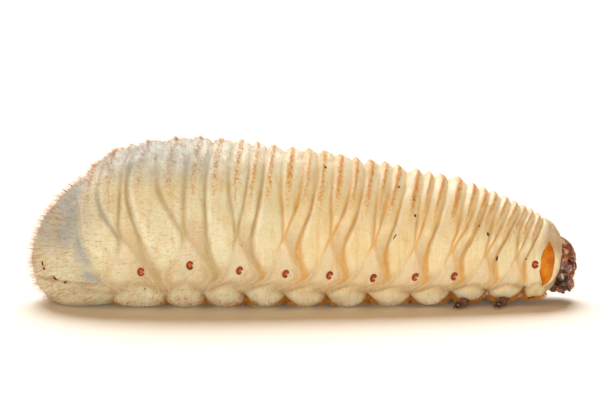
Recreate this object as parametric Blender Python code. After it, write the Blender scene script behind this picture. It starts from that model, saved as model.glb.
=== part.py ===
"""Sun beetle larva, life size, lying at full stretch on its belly.

The body is a row of soft rings. One surface, in millimetres, gives the whole skin: an envelope that the
crests of the folds touch, less the depth of the folds. Each ring is the stretch of that surface between
two leaning furrows, closed by a wall at each end, and neighbouring walls stand a thin gap apart.
The head, its mouthparts and feelers, the six legs and the two side plates are pieces of their own.
+X runs from the tail to the head, +Z is up, and the origin is on the floor under the middle.
"""

import math

import bmesh
import bpy
import numpy as np
from mathutils import Vector

MM = 0.001
GAP = 0.3
BODY_LENGTH = 49.5
HEAD_X = 25.0
TAIL_X = HEAD_X - BODY_LENGTH

# Angles round the body, in degrees from the middle of the back to the middle of the belly
SHOULDER = 64.0
PINCH = 80.0
SIDE = 90.0
UNDER_SIDE = 112.0
PLEURA = 126.0
FOOT = 146.0
BELLY = 180.0

# Where each ring begins, in mm: at the back, the shoulder, the side, under the side and at the foot lobes
RING_EDGES = {
    "abdomen_8": (-19.6, -19.9, -19.4, -18.2, -16.9),
    "abdomen_7": (-14.9, -15.4, -14.1, -12.8, -12.2),
    "abdomen_6": (-8.0, -8.6, -8.3, -7.6, -8.65),
    "abdomen_5": (-3.1, -3.85, -4.45, -3.6, -5.0),
    "abdomen_4": (1.55, 0.8, -0.3, 0.1, -1.45),
    "abdomen_3": (5.75, 4.9, 3.7, 3.75, 2.25),
    "abdomen_2": (9.65, 8.45, 7.5, 7.4, 6.05),
    "abdomen_1": (13.3, 12.1, 11.1, 11.0, 9.9),
    "metathorax": (17.1, 15.6, 14.3, 14.3, 13.5),
    "mesothorax": (20.0, 18.4, 17.3, 17.4, 16.7),
    "prothorax": (21.95, 20.9, 20.0, 20.1, 20.1),
}
FRONT_RIM = (23.35, 23.35, 23.15, 22.65, 22.15)

# The two inner furrows at the back, as shares of the ring, and where each fold's crest stands in it
BACK_FOLDS = {
    "abdomen_8": (0.38, 0.82, 0.40),
    "abdomen_7": (0.38, 0.73, 0.32),
    "abdomen_6": (0.40, 0.73, 0.30),
    "abdomen_5": (0.36, 0.72, 0.32),
    "abdomen_4": (0.36, 0.72, 0.32),
    "abdomen_3": (0.38, 0.66, 0.38),
    "abdomen_2": (0.42, 0.68, 0.60),
    "abdomen_1": (0.45, 0.74, 0.58),
    "metathorax": (0.37, 0.69, 0.50),
    "mesothorax": (0.33, 0.66, 0.50),
}

# How blunt the crests of the back folds are: 0 is sharp and 1 a flat-topped cushion
CREST_BLUNTNESS = {"abdomen_8": 0.7, "abdomen_7": 0.7, "abdomen_6": 0.6, "abdomen_5": 0.4, "abdomen_4": 0.2}

# The envelope: station, half width, height of the back, height of the widest line, height of the belly
STATIONS = np.array([
    (-25.0, 6.6, 12.0, 4.3, 0.0),
    (-20.5, 6.9, 12.3, 5.3, 0.0),
    (-17.0, 7.1, 13.7, 5.9, 0.0),
    (-13.0, 7.4, 14.65, 6.2, 0.0),
    (-8.0, 7.5, 14.8, 6.3, 0.0),
    (-3.0, 7.3, 14.2, 6.1, 0.0),
    (2.0, 7.0, 13.7, 5.8, 0.0),
    (7.0, 6.6, 12.8, 5.4, 0.0),
    (12.0, 6.0, 11.8, 4.9, 0.2),
    (15.4, 5.5, 10.9, 4.5, 0.55),
    (18.6, 4.9, 9.6, 4.2, 0.7),
    (21.4, 4.35, 8.15, 4.0, 0.95),
    (24.5, 3.6, 5.9, 3.8, 1.2),
])
TAIL_ROUNDING = 8.0
TAIL_TIP_HEIGHT = 4.3
BELLY_DIP = 0.25

# Depth of the folds at the middle of the back, the shoulder, the side, under the side, over the foot lobes,
# on them and under the belly, and the shares of it that the rear rings lack on the back and on the feet
FOLD_DEPTHS = (0.6, 0.66, 0.46, 0.36, 0.50, 1.1, 1.0)
REAR_CALM = 0.5
REAR_FOOT_CALM = 0.6

# The crease over the foot lobes: depth in mm, and how far its scallops swing in degrees
PLEURAL_CREASE = 0.14
PLEURAL_SCALLOP = 6.0
FOOT_SWELL = 0.2
LOWER_SQUARENESS = 0.76

# Angles at which the rings are cut into facets, closer together on the folded flanks
FACET_ANGLES = (0, 15, 29, 42, 54, 64, 72, 80, 88, 96, 104, 112, 119, 126, 132, 140, 149, 162, 180)

RIM_ROUNDING = 0.35

# Breathing holes: place along the body in mm and angle round it
SPIRACLES = {
    "abdomen_8": (-14.25, 106.0),
    "abdomen_7": (-9.9, 101.5),
    "abdomen_6": (-5.5, 105.0),
    "abdomen_5": (-1.4, 107.0),
    "abdomen_4": (2.5, 107.5),
    "abdomen_3": (6.4, 108.0),
    "abdomen_2": (10.15, 106.0),
    "abdomen_1": (13.65, 104.5),
    "prothorax": (20.95, 90.0),
}
SPIRACLE_LONG = 0.40
SPIRACLE_WIDE = 0.33
SPIRACLE_PROUD = 0.12
SPIRACLE_ROOT = 0.5

# The horny side plate: angles round the body, and its rear and front edge there as shares of the first ring
PLATE_LEVELS = (56.0, 69.0, 80.0, 96.0, 108.0, 117.0, 122.5)
PLATE_REAR = (0.49, 0.41, 0.37, 0.52, 0.55, 0.60, 0.64)
PLATE_FRONT = (0.54, 0.76, 0.805, 0.825, 0.82, 0.78, 0.69)
PLATE_THICKNESS = 0.5
PLATE_PROUD = 0.05

HEAD_CENTRE = Vector((22.95, 0.0, 3.9))
HEAD_RADII = Vector((2.1, 2.35, 2.1))
CLYPEUS_CENTRE = Vector((24.35, 0.0, 2.75))
CLYPEUS_RADII = Vector((0.6, 1.3, 0.7))
LABRUM_CENTRE = Vector((24.5, 0.0, 1.6))
LABRUM_RADII = Vector((0.42, 1.0, 0.55))
LABIUM_CENTRE = Vector((23.0, 0.0, 1.35))
LABIUM_RADII = Vector((0.5, 0.6, 0.6))

# Limbs of the left side, as points in mm and the thickness at each
ANTENNA = (
    ((24.3, 1.7, 4.2), (24.6, 1.95, 3.9), (24.7, 2.15, 3.3), (24.4, 2.35, 2.6), (24.15, 2.4, 1.9),
     (24.3, 2.3, 1.2)),
    (0.34, 0.30, 0.27, 0.25, 0.27, 0.18),
)
MANDIBLE = (
    ((23.6, 1.6, 2.8), (23.75, 1.7, 2.2), (23.9, 1.5, 1.7), (24.0, 1.0, 1.3), (24.05, 0.5, 1.15)),
    (0.55, 0.55, 0.45, 0.34, 0.2),
)
MAXILLA = (
    ((22.3, 1.5, 2.5), (22.6, 1.6, 2.0), (23.05, 1.5, 1.6), (23.5, 1.2, 1.2)),
    (0.45, 0.45, 0.38, 0.22),
)
PALP = (
    ((22.8, 1.75, 1.7), (23.1, 2.1, 1.5), (23.5, 2.25, 1.25), (23.85, 2.15, 1.05)),
    (0.26, 0.25, 0.24, 0.14),
)
LEGS = {
    "front": ("prothorax", ((21.2, 1.4, 1.9), (21.15, 1.9, 1.35), (21.0, 2.3, 1.1), (20.85, 2.6, 0.98),
                            (20.7, 2.8, 0.85))),
    "middle": ("mesothorax", ((18.5, 1.8, 1.7), (18.4, 2.6, 0.95), (18.2, 3.4, 0.6), (17.9, 4.05, 0.5),
                              (17.5, 4.5, 0.34))),
    "hind": ("metathorax", ((15.0, 1.9, 1.5), (14.9, 2.9, 0.85), (14.65, 3.8, 0.58), (14.3, 4.5, 0.5),
                            (13.85, 5.05, 0.36))),
}
LEG_THICKNESS = (0.50, 0.47, 0.42, 0.37, 0.26)

COLOURS = {
    "skin": ((0.78, 0.62, 0.38), 0.45),
    "head": ((0.20, 0.05, 0.02), 0.25),
    "jaw": ((0.02, 0.012, 0.01), 0.2),
    "plate": ((0.80, 0.33, 0.03), 0.35),
    "leg": ((0.30, 0.09, 0.03), 0.35),
}


def smooth(value, knots, heights, level_ends=False):
    """A curve through the knots: cubic pieces on the slopes of the neighbouring knots."""
    knots, heights = np.asarray(knots, float), np.asarray(heights, float)
    slopes = np.gradient(heights, knots)
    if level_ends:
        slopes[[0, -1]] = 0.0
    value = np.clip(value, knots[0], knots[-1])
    cell = np.clip(np.searchsorted(knots, value, side="right") - 1, 0, len(knots) - 2)
    width = knots[cell + 1] - knots[cell]
    s = (value - knots[cell]) / width
    rise = heights[cell] * (1 + 2 * s) * (1 - s) ** 2 + heights[cell + 1] * s * s * (3 - 2 * s)
    return rise + width * (slopes[cell] * s * (1 - s) ** 2 - slopes[cell + 1] * s * s * (1 - s))


def ease(low, high, value):
    """0 below low, 1 above high, and a smooth step between."""
    s = np.clip((value - low) / (high - low), 0.0, 1.0)
    return s * s * (3 - 2 * s)


def bell(value, middle, spread):
    return np.exp(-(((value - middle) / spread) ** 2))


def puff(share, crest, sharpness, steepness=6.0):
    """Height over one fold: a flat-topped cushion, or with sharpness 1 two slopes that meet at the crest."""
    v = np.where(share < crest, share / crest, (1 - share) / (1 - crest))
    v = np.clip(v, 0.0, 1.0)
    return sharpness * v ** 0.85 + (1 - sharpness) * (1 - (1 - v) ** steepness)


def furrows(angle, ring):
    """The two inner furrows of a ring, as shares of its length. They run down the back, close to a pinch
    above the breathing hole, and open again below it into the triangle that holds it."""
    first, second, _ = BACK_FOLDS[ring]
    levels = (0.0, SHOULDER, PINCH, 85.0, 91.0, 99.0, 106.0, PLEURA, BELLY)
    return (
        smooth(angle, levels, (first, first + 0.09, 0.62, 0.65, 0.58, 0.36, 0.15, 0.07, 0.33), True),
        smooth(angle, levels, (second, second, 0.69, 0.70, 0.78, 0.86, 0.90, 0.88, 0.67), True),
    )


def fold_share(share, angle, ring):
    """0 at the bottom of the furrows and 1 on the crests of a ring."""
    if ring == "anal_segment":
        return puff(0.5 + share / 2, 0.5, 0.0) ** 0.5 + 0 * angle
    if ring == "prothorax":
        rim = 1 - RIM_ROUNDING * ease(0.75, 1.0, share)
        return puff(np.minimum(share, 0.4), 0.4, 0.0) ** 0.6 * rim + 0 * angle
    flank = ease(58.0, PINCH, angle)
    field = ease(84.0, 98.0, angle)
    lobe_end = ease(96.0, 110.0, angle)
    below = ease(-7.0, 5.0, angle - crease_angle(share))
    first, second = furrows(angle, ring)
    crest = BACK_FOLDS[ring][2]
    crest = crest + (0.5 - crest) * flank
    sharpness = (1 - flank) * (1 - CREST_BLUNTNESS.get(ring, 0.0))
    ends = 0.65 * ease(94.0, 110.0, angle)
    inner = 0.22 + 0.18 * flank
    edges = (0.0 * first, first, second, 0.0 * first + 1)
    floors = (ends, inner + 0.14 * field, inner + 0.24 * field, ends)
    peaks = (1.0 - 0.40 * lobe_end, 1.0 - 0.58 * ease(66.0, PINCH, angle) + 0.18 * field, 1.0 - 0.42 * flank)
    height = np.zeros(np.broadcast(share, angle).shape)
    for n in range(3):
        low, high = edges[n], edges[n + 1]
        inside = (share >= low) & (share <= high)
        u = np.clip((share - low) / (high - low), 0, 1)
        base = floors[n] * (1 - u) + floors[n + 1] * u
        height = np.where(inside, base + (peaks[n] - base) * puff(u, crest, sharpness, 6 - 3.5 * field), height)
    foot = np.sin(share * math.pi) ** 0.45
    return height * (1 - below) + foot * below


def crease_angle(share):
    """The crease over the foot lobes, in scallops: higher over the middle of a lobe than between two."""
    return PLEURA + PLEURAL_SCALLOP * np.cos(2 * math.pi * share)


def ring_edge(angle, edges):
    """Where a ring begins at this angle round the body."""
    top, shoulder, side, under, foot = edges
    levels = (0.0, SHOULDER, SIDE, UNDER_SIDE, PLEURA - 3.0, FOOT, BELLY)
    return smooth(angle, levels, (top, shoulder, side, under, foot, foot, foot), True)


def skin(x, angle, share, ring):
    """Points on the skin in mm, for a place along the body and an angle in degrees, both arrays: the
    envelope's section, drawn in by the depth of the folds there, and flat where it lies on the floor."""
    station = STATIONS[:, 0]
    half_width, back, widest, belly = (smooth(x, station, STATIONS[:, k]) for k in (1, 2, 3, 4))
    tail = np.clip((TAIL_X + TAIL_ROUNDING - x) / TAIL_ROUNDING, 0.0, 1.0)
    closing = np.maximum(1 - tail ** 1.62, 0.0) ** (1 / 1.62)
    closing_side = np.maximum(1 - tail ** 2.2, 0.0) ** (1 / 2.2)
    under = np.clip((TAIL_X + 0.45 * TAIL_ROUNDING - x) / (0.45 * TAIL_ROUNDING), 0.0, 1.0)
    closing_under = np.maximum(1 - under ** 2.2, 0.0) ** (1 / 2.2)
    round_angle = np.radians(angle)
    cosine, sine = np.cos(round_angle), np.sin(round_angle)
    rise = np.where(cosine > 0, (back - widest) * closing, (widest - belly + BELLY_DIP) * closing_under)
    depth = smooth(angle, (0.0, SHOULDER, SIDE, UNDER_SIDE, PLEURA + 4.0, FOOT, BELLY), FOLD_DEPTHS, True)
    depth = depth * (1 - REAR_CALM * ease(2.0, -11.0, x) * ease(112.0, 92.0, angle))
    depth = depth * (1 - REAR_FOOT_CALM * ease(-5.5, -10.0, x) * ease(112.0, 128.0, angle))
    folds = fold_share(share, angle, ring)
    crease = PLEURAL_CREASE * bell(angle, crease_angle(share), 8.0)
    swell = FOOT_SWELL * bell(angle, FOOT, 13.0) * folds
    relief = (swell - crease - depth * (1 - folds)) * np.minimum(closing, closing_under)
    squareness = np.where(cosine < 0, LOWER_SQUARENESS, 1.0)
    y = half_width * closing_side * sine ** squareness + relief * sine
    z = widest + rise * np.sign(cosine) * np.abs(cosine) ** squareness + relief * cosine
    ground = np.maximum(belly, 0.0) + (TAIL_TIP_HEIGHT - belly) * (1 - closing_under)
    return x, y, np.maximum(z, ground)


def material(name):
    """A Principled material in the part's own colour."""
    found = bpy.data.materials.get(name)
    if found:
        return found
    colour, roughness = COLOURS[name]
    made = bpy.data.materials.new(name)
    made.use_nodes = True
    shader = made.node_tree.nodes["Principled BSDF"]
    shader.inputs["Base Color"].default_value = (*colour, 1.0)
    shader.inputs["Roughness"].default_value = roughness
    shader.inputs["Metallic"].default_value = 0.0
    return made


def make_object(name, points_mm, faces, finish, home):
    """An object from points in millimetres, shaded smooth apart from its sharp edges."""
    mesh = bpy.data.meshes.new(name)
    mesh.from_pydata([Vector(p) * MM for p in points_mm], [], faces)
    mesh.materials.append(material(finish))
    tidy = bmesh.new()
    tidy.from_mesh(mesh)
    bmesh.ops.recalc_face_normals(tidy, faces=tidy.faces)
    tidy.to_mesh(mesh)
    tidy.free()
    mesh.shade_smooth()
    mesh.set_sharp_from_angle(angle=math.radians(50))
    made = bpy.data.objects.new(name, mesh)
    home.objects.link(made)
    return made


def ring_rows(angle, ring):
    """The shares of a ring's length at which its facets are cut, following the furrows and the crests."""
    if ring in ("anal_segment", "prothorax"):
        count = 11 if ring == "anal_segment" else 8
        return [np.full(len(angle), k / count) for k in range(count + 1)]
    first, second = furrows(angle, ring)
    crest = BACK_FOLDS[ring][2] + (0.5 - BACK_FOLDS[ring][2]) * ease(58.0, PINCH, angle)
    rows = []
    for low, high in ((0 * first, first), (first, second), (second, 0 * first + 1)):
        for u in (0 * crest, crest / 2, crest, (1 + crest) / 2):
            rows.append(low + (high - low) * u)
    return rows + [np.ones(len(angle))]


def body_ring(ring, back_edges, front_edges, home):
    """One ring of the body as a closed solid: rows of facets from edge to edge and a wall at each end."""
    half = np.array(FACET_ANGLES, float)
    angle = np.concatenate([half, half[-2:0:-1]])
    side = np.concatenate([np.ones(len(half)), -np.ones(len(half) - 2)])
    tail_ring = back_edges is None
    front = ring_edge(angle, front_edges) - (0.0 if ring == "prothorax" else GAP / 2)
    back = np.full(len(angle), TAIL_X) if tail_ring else ring_edge(angle, back_edges) + GAP / 2
    points = []
    for share in ring_rows(angle, ring):
        along = 1 - np.cos(share * math.pi / 2) if tail_ring else share
        x, y, z = skin(back + (front - back) * along, angle, share, ring)
        points.append(np.stack([x, y * side, z], axis=1))
    columns = len(angle)
    faces = []
    for row in range(len(points) - 1):
        for k in range(columns):
            a, b = row * columns + k, row * columns + (k + 1) % columns
            faces.append((a, b, b + columns, a + columns))
    cloud = [tuple(p) for row in points for p in row]
    for end, row in ((0, 0), (1, len(points) - 1)):
        ring_points = points[row]
        middle = len(cloud)
        centre_x = ring_points[:, 0].mean()
        cloud.append((centre_x, 0.0, float(np.interp(centre_x, STATIONS[:, 0], STATIONS[:, 3]))))
        if tail_ring and end == 0:
            cloud[middle] = (TAIL_X, 0.0, TAIL_TIP_HEIGHT)
        for k in range(columns):
            a, b = row * columns + k, row * columns + (k + 1) % columns
            faces.append((b, a, middle) if end == 0 else (a, b, middle))
    made = make_object(ring, cloud, faces, "skin", home)
    weld = bmesh.new()
    weld.from_mesh(made.data)
    bmesh.ops.remove_doubles(weld, verts=weld.verts, dist=0.002 * MM)
    bmesh.ops.dissolve_degenerate(weld, dist=0.002 * MM, edges=weld.edges)
    bmesh.ops.triangulate(weld, faces=weld.faces)
    bmesh.ops.recalc_face_normals(weld, faces=weld.faces)
    weld.to_mesh(made.data)
    weld.free()
    return made


def boolean(target, pieces, operation):
    """Joins the pieces to the target, or cuts them from it, in one Boolean, and removes them."""
    group = bpy.data.collections.new("shaping")
    bpy.context.scene.collection.children.link(group)
    for piece in pieces:
        for owner in piece.users_collection:
            owner.objects.unlink(piece)
        group.objects.link(piece)
    step = target.modifiers.new("shape", "BOOLEAN")
    step.operation = operation
    step.operand_type = "COLLECTION"
    step.collection = group
    step.solver = "EXACT"
    bpy.context.view_layer.update()
    shaped = bpy.data.meshes.new_from_object(target.evaluated_get(bpy.context.evaluated_depsgraph_get()))
    target.modifiers.remove(step)
    target.data = shaped
    for piece in pieces:
        bpy.data.objects.remove(piece)
    bpy.data.collections.remove(group)
    keep_largest(target)


def keep_largest(target):
    """Keeps the largest closed surface of an object."""
    work = bmesh.new()
    work.from_mesh(target.data)
    left = set(work.faces)
    islands = []
    while left:
        island, front = set(), [left.pop()]
        while front:
            face = front.pop()
            island.add(face)
            near = {f for edge in face.edges if len(edge.link_faces) == 2 for f in edge.link_faces} & left
            left -= near
            front.extend(near)
        islands.append(island)
    islands.sort(key=lambda faces: sum(f.calc_area() for f in faces))
    scrap = [f for island in islands[:-1] for f in island]
    bmesh.ops.delete(work, geom=scrap, context="FACES")
    work.to_mesh(target.data)
    work.free()


def limb(name, points_mm, radii_mm, finish, home, sides=8):
    """A tapering limb: a curve through the points with a radius at each, made a closed mesh."""
    curve = bpy.data.curves.new(name, "CURVE")
    curve.dimensions = "3D"
    curve.bevel_depth = MM
    curve.bevel_resolution = (sides - 4) // 2
    curve.use_fill_caps = True
    spline = curve.splines.new("POLY")
    spline.points.add(len(points_mm) - 1)
    for point, place, radius in zip(spline.points, points_mm, radii_mm):
        point.co = (*(Vector(place) * MM), 1.0)
        point.radius = radius
    drawn = bpy.data.objects.new(name + "_line", curve)
    home.objects.link(drawn)
    bpy.context.view_layer.update()
    mesh = bpy.data.meshes.new_from_object(drawn.evaluated_get(bpy.context.evaluated_depsgraph_get()))
    bpy.data.objects.remove(drawn)
    weld = bmesh.new()
    weld.from_mesh(mesh)
    bmesh.ops.remove_doubles(weld, verts=weld.verts, dist=0.001 * MM)
    bmesh.ops.recalc_face_normals(weld, faces=weld.faces)
    weld.to_mesh(mesh)
    weld.free()
    mesh.name = name
    mesh.materials.clear()
    mesh.materials.append(material(finish))
    mesh.shade_smooth()
    mesh.set_sharp_from_angle(angle=math.radians(50))
    made = bpy.data.objects.new(name, mesh)
    home.objects.link(made)
    return made


def grown(points_mm, radii_mm, home):
    """A cutter for a limb's socket: the same limb, wider by the gap all round."""
    wider = [radius + GAP for radius in radii_mm]
    start = Vector(points_mm[0]) - (Vector(points_mm[1]) - Vector(points_mm[0])).normalized() * GAP
    return limb("socket", [start] + list(points_mm[1:]), wider, "skin", home)


def slab(name, surface, columns, rows, finish, home):
    """A closed plate between two faces. surface(u, v, k) gives a point, with k 0 inside and 1 outside."""
    cloud, faces = [], []
    count = (columns + 1) * (rows + 1)
    for k in (0, 1):
        for j in range(rows + 1):
            for i in range(columns + 1):
                cloud.append(surface(i / columns, j / rows, k))
    for j in range(rows):
        for i in range(columns):
            a = j * (columns + 1) + i
            b, c, d = a + 1, a + columns + 2, a + columns + 1
            for corner in ((a, b, c), (a, c, d)):
                faces.append(corner)
                faces.append(tuple(p + count for p in reversed(corner)))
    edge = [i for i in range(columns)]
    edge += [columns + j * (columns + 1) for j in range(rows)]
    edge += [rows * (columns + 1) + i for i in range(columns, 0, -1)]
    edge += [j * (columns + 1) for j in range(rows, 0, -1)]
    for n, a in enumerate(edge):
        b = edge[(n + 1) % len(edge)]
        faces.append((a, b, b + count, a + count))
    return make_object(name, cloud, faces, finish, home)


def place(ring, edges, x, angle):
    """The point of the skin at a place along the body and an angle round it."""
    angle = np.array([angle])
    low, high = ring_edge(angle, edges[ring][0]), ring_edge(angle, edges[ring][1])
    x, y, z = skin(np.array([x]), angle, (x - low) / (high - low), ring)
    return Vector((x[0], y[0], z[0]))


def spiracle(ring, edges, home):
    """A breathing hole: a low oval button with a dished middle, rooted in the ring."""
    x, angle = SPIRACLES[ring]
    centre = place(ring, edges, x, angle)
    out = Vector((0.0, math.sin(math.radians(angle)), math.cos(math.radians(angle))))
    along = Vector((1.0, 0.0, 0.0))
    up = out.cross(along)
    corners = 8
    levels = ((1.0, -SPIRACLE_ROOT), (1.0, SPIRACLE_PROUD), (0.5, SPIRACLE_PROUD), (0.4, 0.0))
    cloud, faces = [], []
    for reach, height in levels:
        for k in range(corners):
            turn = 2 * math.pi * k / corners
            cloud.append(centre + out * height + along * (math.cos(turn) * SPIRACLE_WIDE * reach)
                         + up * (math.sin(turn) * SPIRACLE_LONG * reach))
    for level in range(len(levels) - 1):
        for k in range(corners):
            a, b = level * corners + k, level * corners + (k + 1) % corners
            faces.append((a, b, b + corners, a + corners))
    faces.append(tuple(range(corners)))
    faces.append(tuple(range(len(cloud) - corners, len(cloud))))
    return make_object("spiracle", cloud, faces, "skin", home)


def plate_surface(edges, spread, inner, outer):
    """The shape of a side plate, widened by spread mm, as a function of two shares and the face."""
    low, high = edges["prothorax"]
    length = high[2] - low[2]
    top, bottom = PLATE_LEVELS[0], PLATE_LEVELS[-1]
    round_half = math.radians(bottom - top) * STATIONS[-2][1] / 2

    def at(u, v, face):
        angle = (top + bottom) / 2 + (v - 0.5) * (bottom - top) * (1 + spread / round_half)
        rear, front = (float(smooth(angle, PLATE_LEVELS, line)) for line in (PLATE_REAR, PLATE_FRONT))
        share = (rear + front) / 2 + (2 * u - 1) * ((front - rear) / 2 + spread / length)
        begin, end = (ring_edge(np.array([angle]), e)[0] for e in (low, high))
        point = place("prothorax", edges, begin + (end - begin) * share, angle)
        out = Vector((0.0, math.sin(math.radians(angle)), math.cos(math.radians(angle))))
        return point + out * (outer if face else inner)

    return at


def ball(name, centre, radii, finish, home):
    """An ellipsoid."""
    mesh = bpy.data.meshes.new(name)
    work = bmesh.new()
    bmesh.ops.create_uvsphere(work, u_segments=18, v_segments=10, radius=1.0)
    for vert in work.verts:
        vert.co = Vector((centre[k] + vert.co[k] * radii[k] for k in range(3))) * MM
    work.to_mesh(mesh)
    work.free()
    mesh.materials.append(material(finish))
    mesh.shade_smooth()
    made = bpy.data.objects.new(name, mesh)
    home.objects.link(made)
    return made


def wider_ball(centre, radii, home):
    """A cutter for the seat of an ellipsoid."""
    return ball("seat", centre, radii + Vector((GAP, GAP, GAP)), "skin", home)


def to_side(points, side):
    return [(x, y * side, z) for x, y, z in points]


def build_head(rings, home):
    """The head capsule with its mouthparts and feelers, each seated in what it grows from."""
    head = ball("head_capsule", HEAD_CENTRE, HEAD_RADII, "head", home)
    boolean(head, [ball("clypeus", CLYPEUS_CENTRE, CLYPEUS_RADII, "head", home)], "UNION")
    ball("labrum", LABRUM_CENTRE, LABRUM_RADII, "head", home)
    ball("labium", LABIUM_CENTRE, LABIUM_RADII, "head", home)
    seats = [wider_ball(LABRUM_CENTRE, LABRUM_RADII, home), wider_ball(LABIUM_CENTRE, LABIUM_RADII, home)]
    rim = [wider_ball(HEAD_CENTRE, HEAD_RADII, home), wider_ball(LABIUM_CENTRE, LABIUM_RADII, home)]
    for side, word in ((1, "left"), (-1, "right")):
        antenna, mandible = to_side(ANTENNA[0], side), to_side(MANDIBLE[0], side)
        maxilla, palp = to_side(MAXILLA[0], side), to_side(PALP[0], side)
        limb("antenna_" + word, antenna, ANTENNA[1], "leg", home)
        jaw = limb("mandible_" + word, mandible, MANDIBLE[1], "jaw", home)
        boolean(jaw, [wider_ball(LABRUM_CENTRE, LABRUM_RADII, home)], "DIFFERENCE")
        under = limb("maxilla_" + word, maxilla, MAXILLA[1], "leg", home)
        boolean(under, [limb("palp", palp, PALP[1], "leg", home)], "UNION")
        boolean(under, [grown(mandible, MANDIBLE[1], home), wider_ball(LABIUM_CENTRE, LABIUM_RADII, home)],
                "DIFFERENCE")
        for group in (seats, rim):
            group.append(grown(maxilla, MAXILLA[1], home))
            group.append(grown(palp, PALP[1], home))
        seats.append(grown(antenna, ANTENNA[1], home))
        seats.append(grown(mandible, MANDIBLE[1], home))
    boolean(head, seats, "DIFFERENCE")
    boolean(rings["prothorax"], rim, "DIFFERENCE")


def build_legs(rings, home):
    """Six legs folded out from under the three front rings."""
    for word, (ring, line) in LEGS.items():
        seats = []
        for side, hand in ((1, "left"), (-1, "right")):
            points = to_side(line, side)
            limb("leg_" + word + "_" + hand, points, LEG_THICKNESS, "leg", home)
            seats.append(grown(points, LEG_THICKNESS, home))
        boolean(rings[ring], seats, "DIFFERENCE")


def mirrored(piece, home):
    """A copy of a piece on the other side of the body."""
    twin = bpy.data.objects.new(piece.name, piece.data.copy())
    home.objects.link(twin)
    work = bmesh.new()
    work.from_mesh(twin.data)
    for vert in work.verts:
        vert.co.y = -vert.co.y
    bmesh.ops.reverse_faces(work, faces=work.faces)
    work.to_mesh(twin.data)
    work.free()
    return twin


def build_plates(rings, edges, home):
    """The horny plate on each side of the first ring, in a shallow seat."""
    seat = slab("seat", plate_surface(edges, GAP, -PLATE_THICKNESS - GAP, 3 * GAP), 6, 12, "skin", home)
    shape = plate_surface(edges, 0.0, PLATE_PROUD - PLATE_THICKNESS, PLATE_PROUD)
    plate = slab("prothoracic_plate_left", shape, 6, 12, "plate", home)
    other = mirrored(plate, home)
    other.name = "prothoracic_plate_right"
    boolean(rings["prothorax"], [seat, mirrored(seat, home)], "DIFFERENCE")


def main():
    for old in list(bpy.data.objects):
        bpy.data.objects.remove(old)
    home = bpy.data.collections.new("sun_beetle_larva")
    bpy.context.scene.collection.children.link(home)
    names = ["anal_segment"] + list(RING_EDGES)
    lines = [None] + list(RING_EDGES.values()) + [FRONT_RIM]
    edges = {name: (lines[n], lines[n + 1]) for n, name in enumerate(names)}
    rings = {name: body_ring(name, *edges[name], home) for name in names}
    for ring in SPIRACLES:
        hole = spiracle(ring, edges, home)
        boolean(rings[ring], [hole, mirrored(hole, home)], "UNION")
    build_plates(rings, edges, home)
    build_head(rings, home)
    build_legs(rings, home)


main()
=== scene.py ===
"""Looks for the sun beetle larva: one soft skin with its folds, furrows and bristles, the horny side plates,
the breathing holes, the head with its mouthparts and feelers, the six legs, and a pale studio stage.

Sizes in this file are millimetres unless a name or a unit says otherwise, and a mesh is put in metres when
it is made. +X runs from the tail to the head, +Z is up, and z = 0 is the floor.
"""

import functools
import math

import bpy
import numpy as np
from bpy.props import FloatProperty, FloatVectorProperty, IntProperty, PointerProperty
from bpy.types import Operator, Panel, PropertyGroup
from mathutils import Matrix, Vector


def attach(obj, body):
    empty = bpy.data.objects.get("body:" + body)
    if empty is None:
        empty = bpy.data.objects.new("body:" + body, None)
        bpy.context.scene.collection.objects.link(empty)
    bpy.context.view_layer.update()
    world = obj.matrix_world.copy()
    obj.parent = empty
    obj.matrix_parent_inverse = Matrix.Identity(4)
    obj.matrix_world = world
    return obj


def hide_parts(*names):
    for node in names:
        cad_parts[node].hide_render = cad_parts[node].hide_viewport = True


bl_info = {
    "name": "Sun beetle larva",
    "version": (1, 0, 0),
    "blender": (4, 5, 0),
    "location": "3D View > Sidebar > Larva",
    "description": "Builds the skin, bristles, head, legs and stage of a life-size sun beetle larva",
    "category": "Add Mesh",
}

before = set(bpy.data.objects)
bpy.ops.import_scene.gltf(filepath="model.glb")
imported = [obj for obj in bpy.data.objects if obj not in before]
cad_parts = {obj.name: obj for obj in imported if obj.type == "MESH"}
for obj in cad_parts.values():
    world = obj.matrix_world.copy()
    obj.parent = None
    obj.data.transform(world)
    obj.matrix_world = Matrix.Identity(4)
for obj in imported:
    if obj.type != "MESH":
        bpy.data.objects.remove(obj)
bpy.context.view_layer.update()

MM = 0.001
TAIL_X = -24.5

# Angles round the body, in degrees from the middle of the back to the middle of the belly
SHOULDER, PINCH, SIDE, UNDER_SIDE, PLEURA, FOOT, BELLY = 64.0, 80.0, 90.0, 112.0, 126.0, 146.0, 180.0

# Where each ring begins: at the back, shoulder and side, under the breathing holes, and at the foot lobes
RING_EDGES = {
    "abdomen_8": (-19.6, -19.9, -19.4, -18.2, -16.9),
    "abdomen_7": (-14.9, -15.4, -14.1, -12.8, -12.2),
    "abdomen_6": (-8.0, -8.6, -8.3, -7.6, -8.65),
    "abdomen_5": (-3.1, -3.85, -4.45, -3.6, -5.0),
    "abdomen_4": (1.55, 0.8, -0.3, 0.1, -1.45),
    "abdomen_3": (5.75, 4.9, 3.7, 3.75, 2.25),
    "abdomen_2": (9.65, 8.45, 7.5, 7.4, 6.05),
    "abdomen_1": (13.3, 12.1, 11.1, 11.0, 9.9),
    "metathorax": (17.1, 15.6, 14.3, 14.3, 13.5),
    "mesothorax": (20.0, 18.4, 17.3, 17.4, 16.7),
    "prothorax": (21.95, 20.9, 20.0, 20.1, 20.1),
}
FRONT_RIM = (23.35, 23.35, 23.15, 22.65, 22.15)
RINGS = ["anal_segment"] + list(RING_EDGES)

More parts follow.
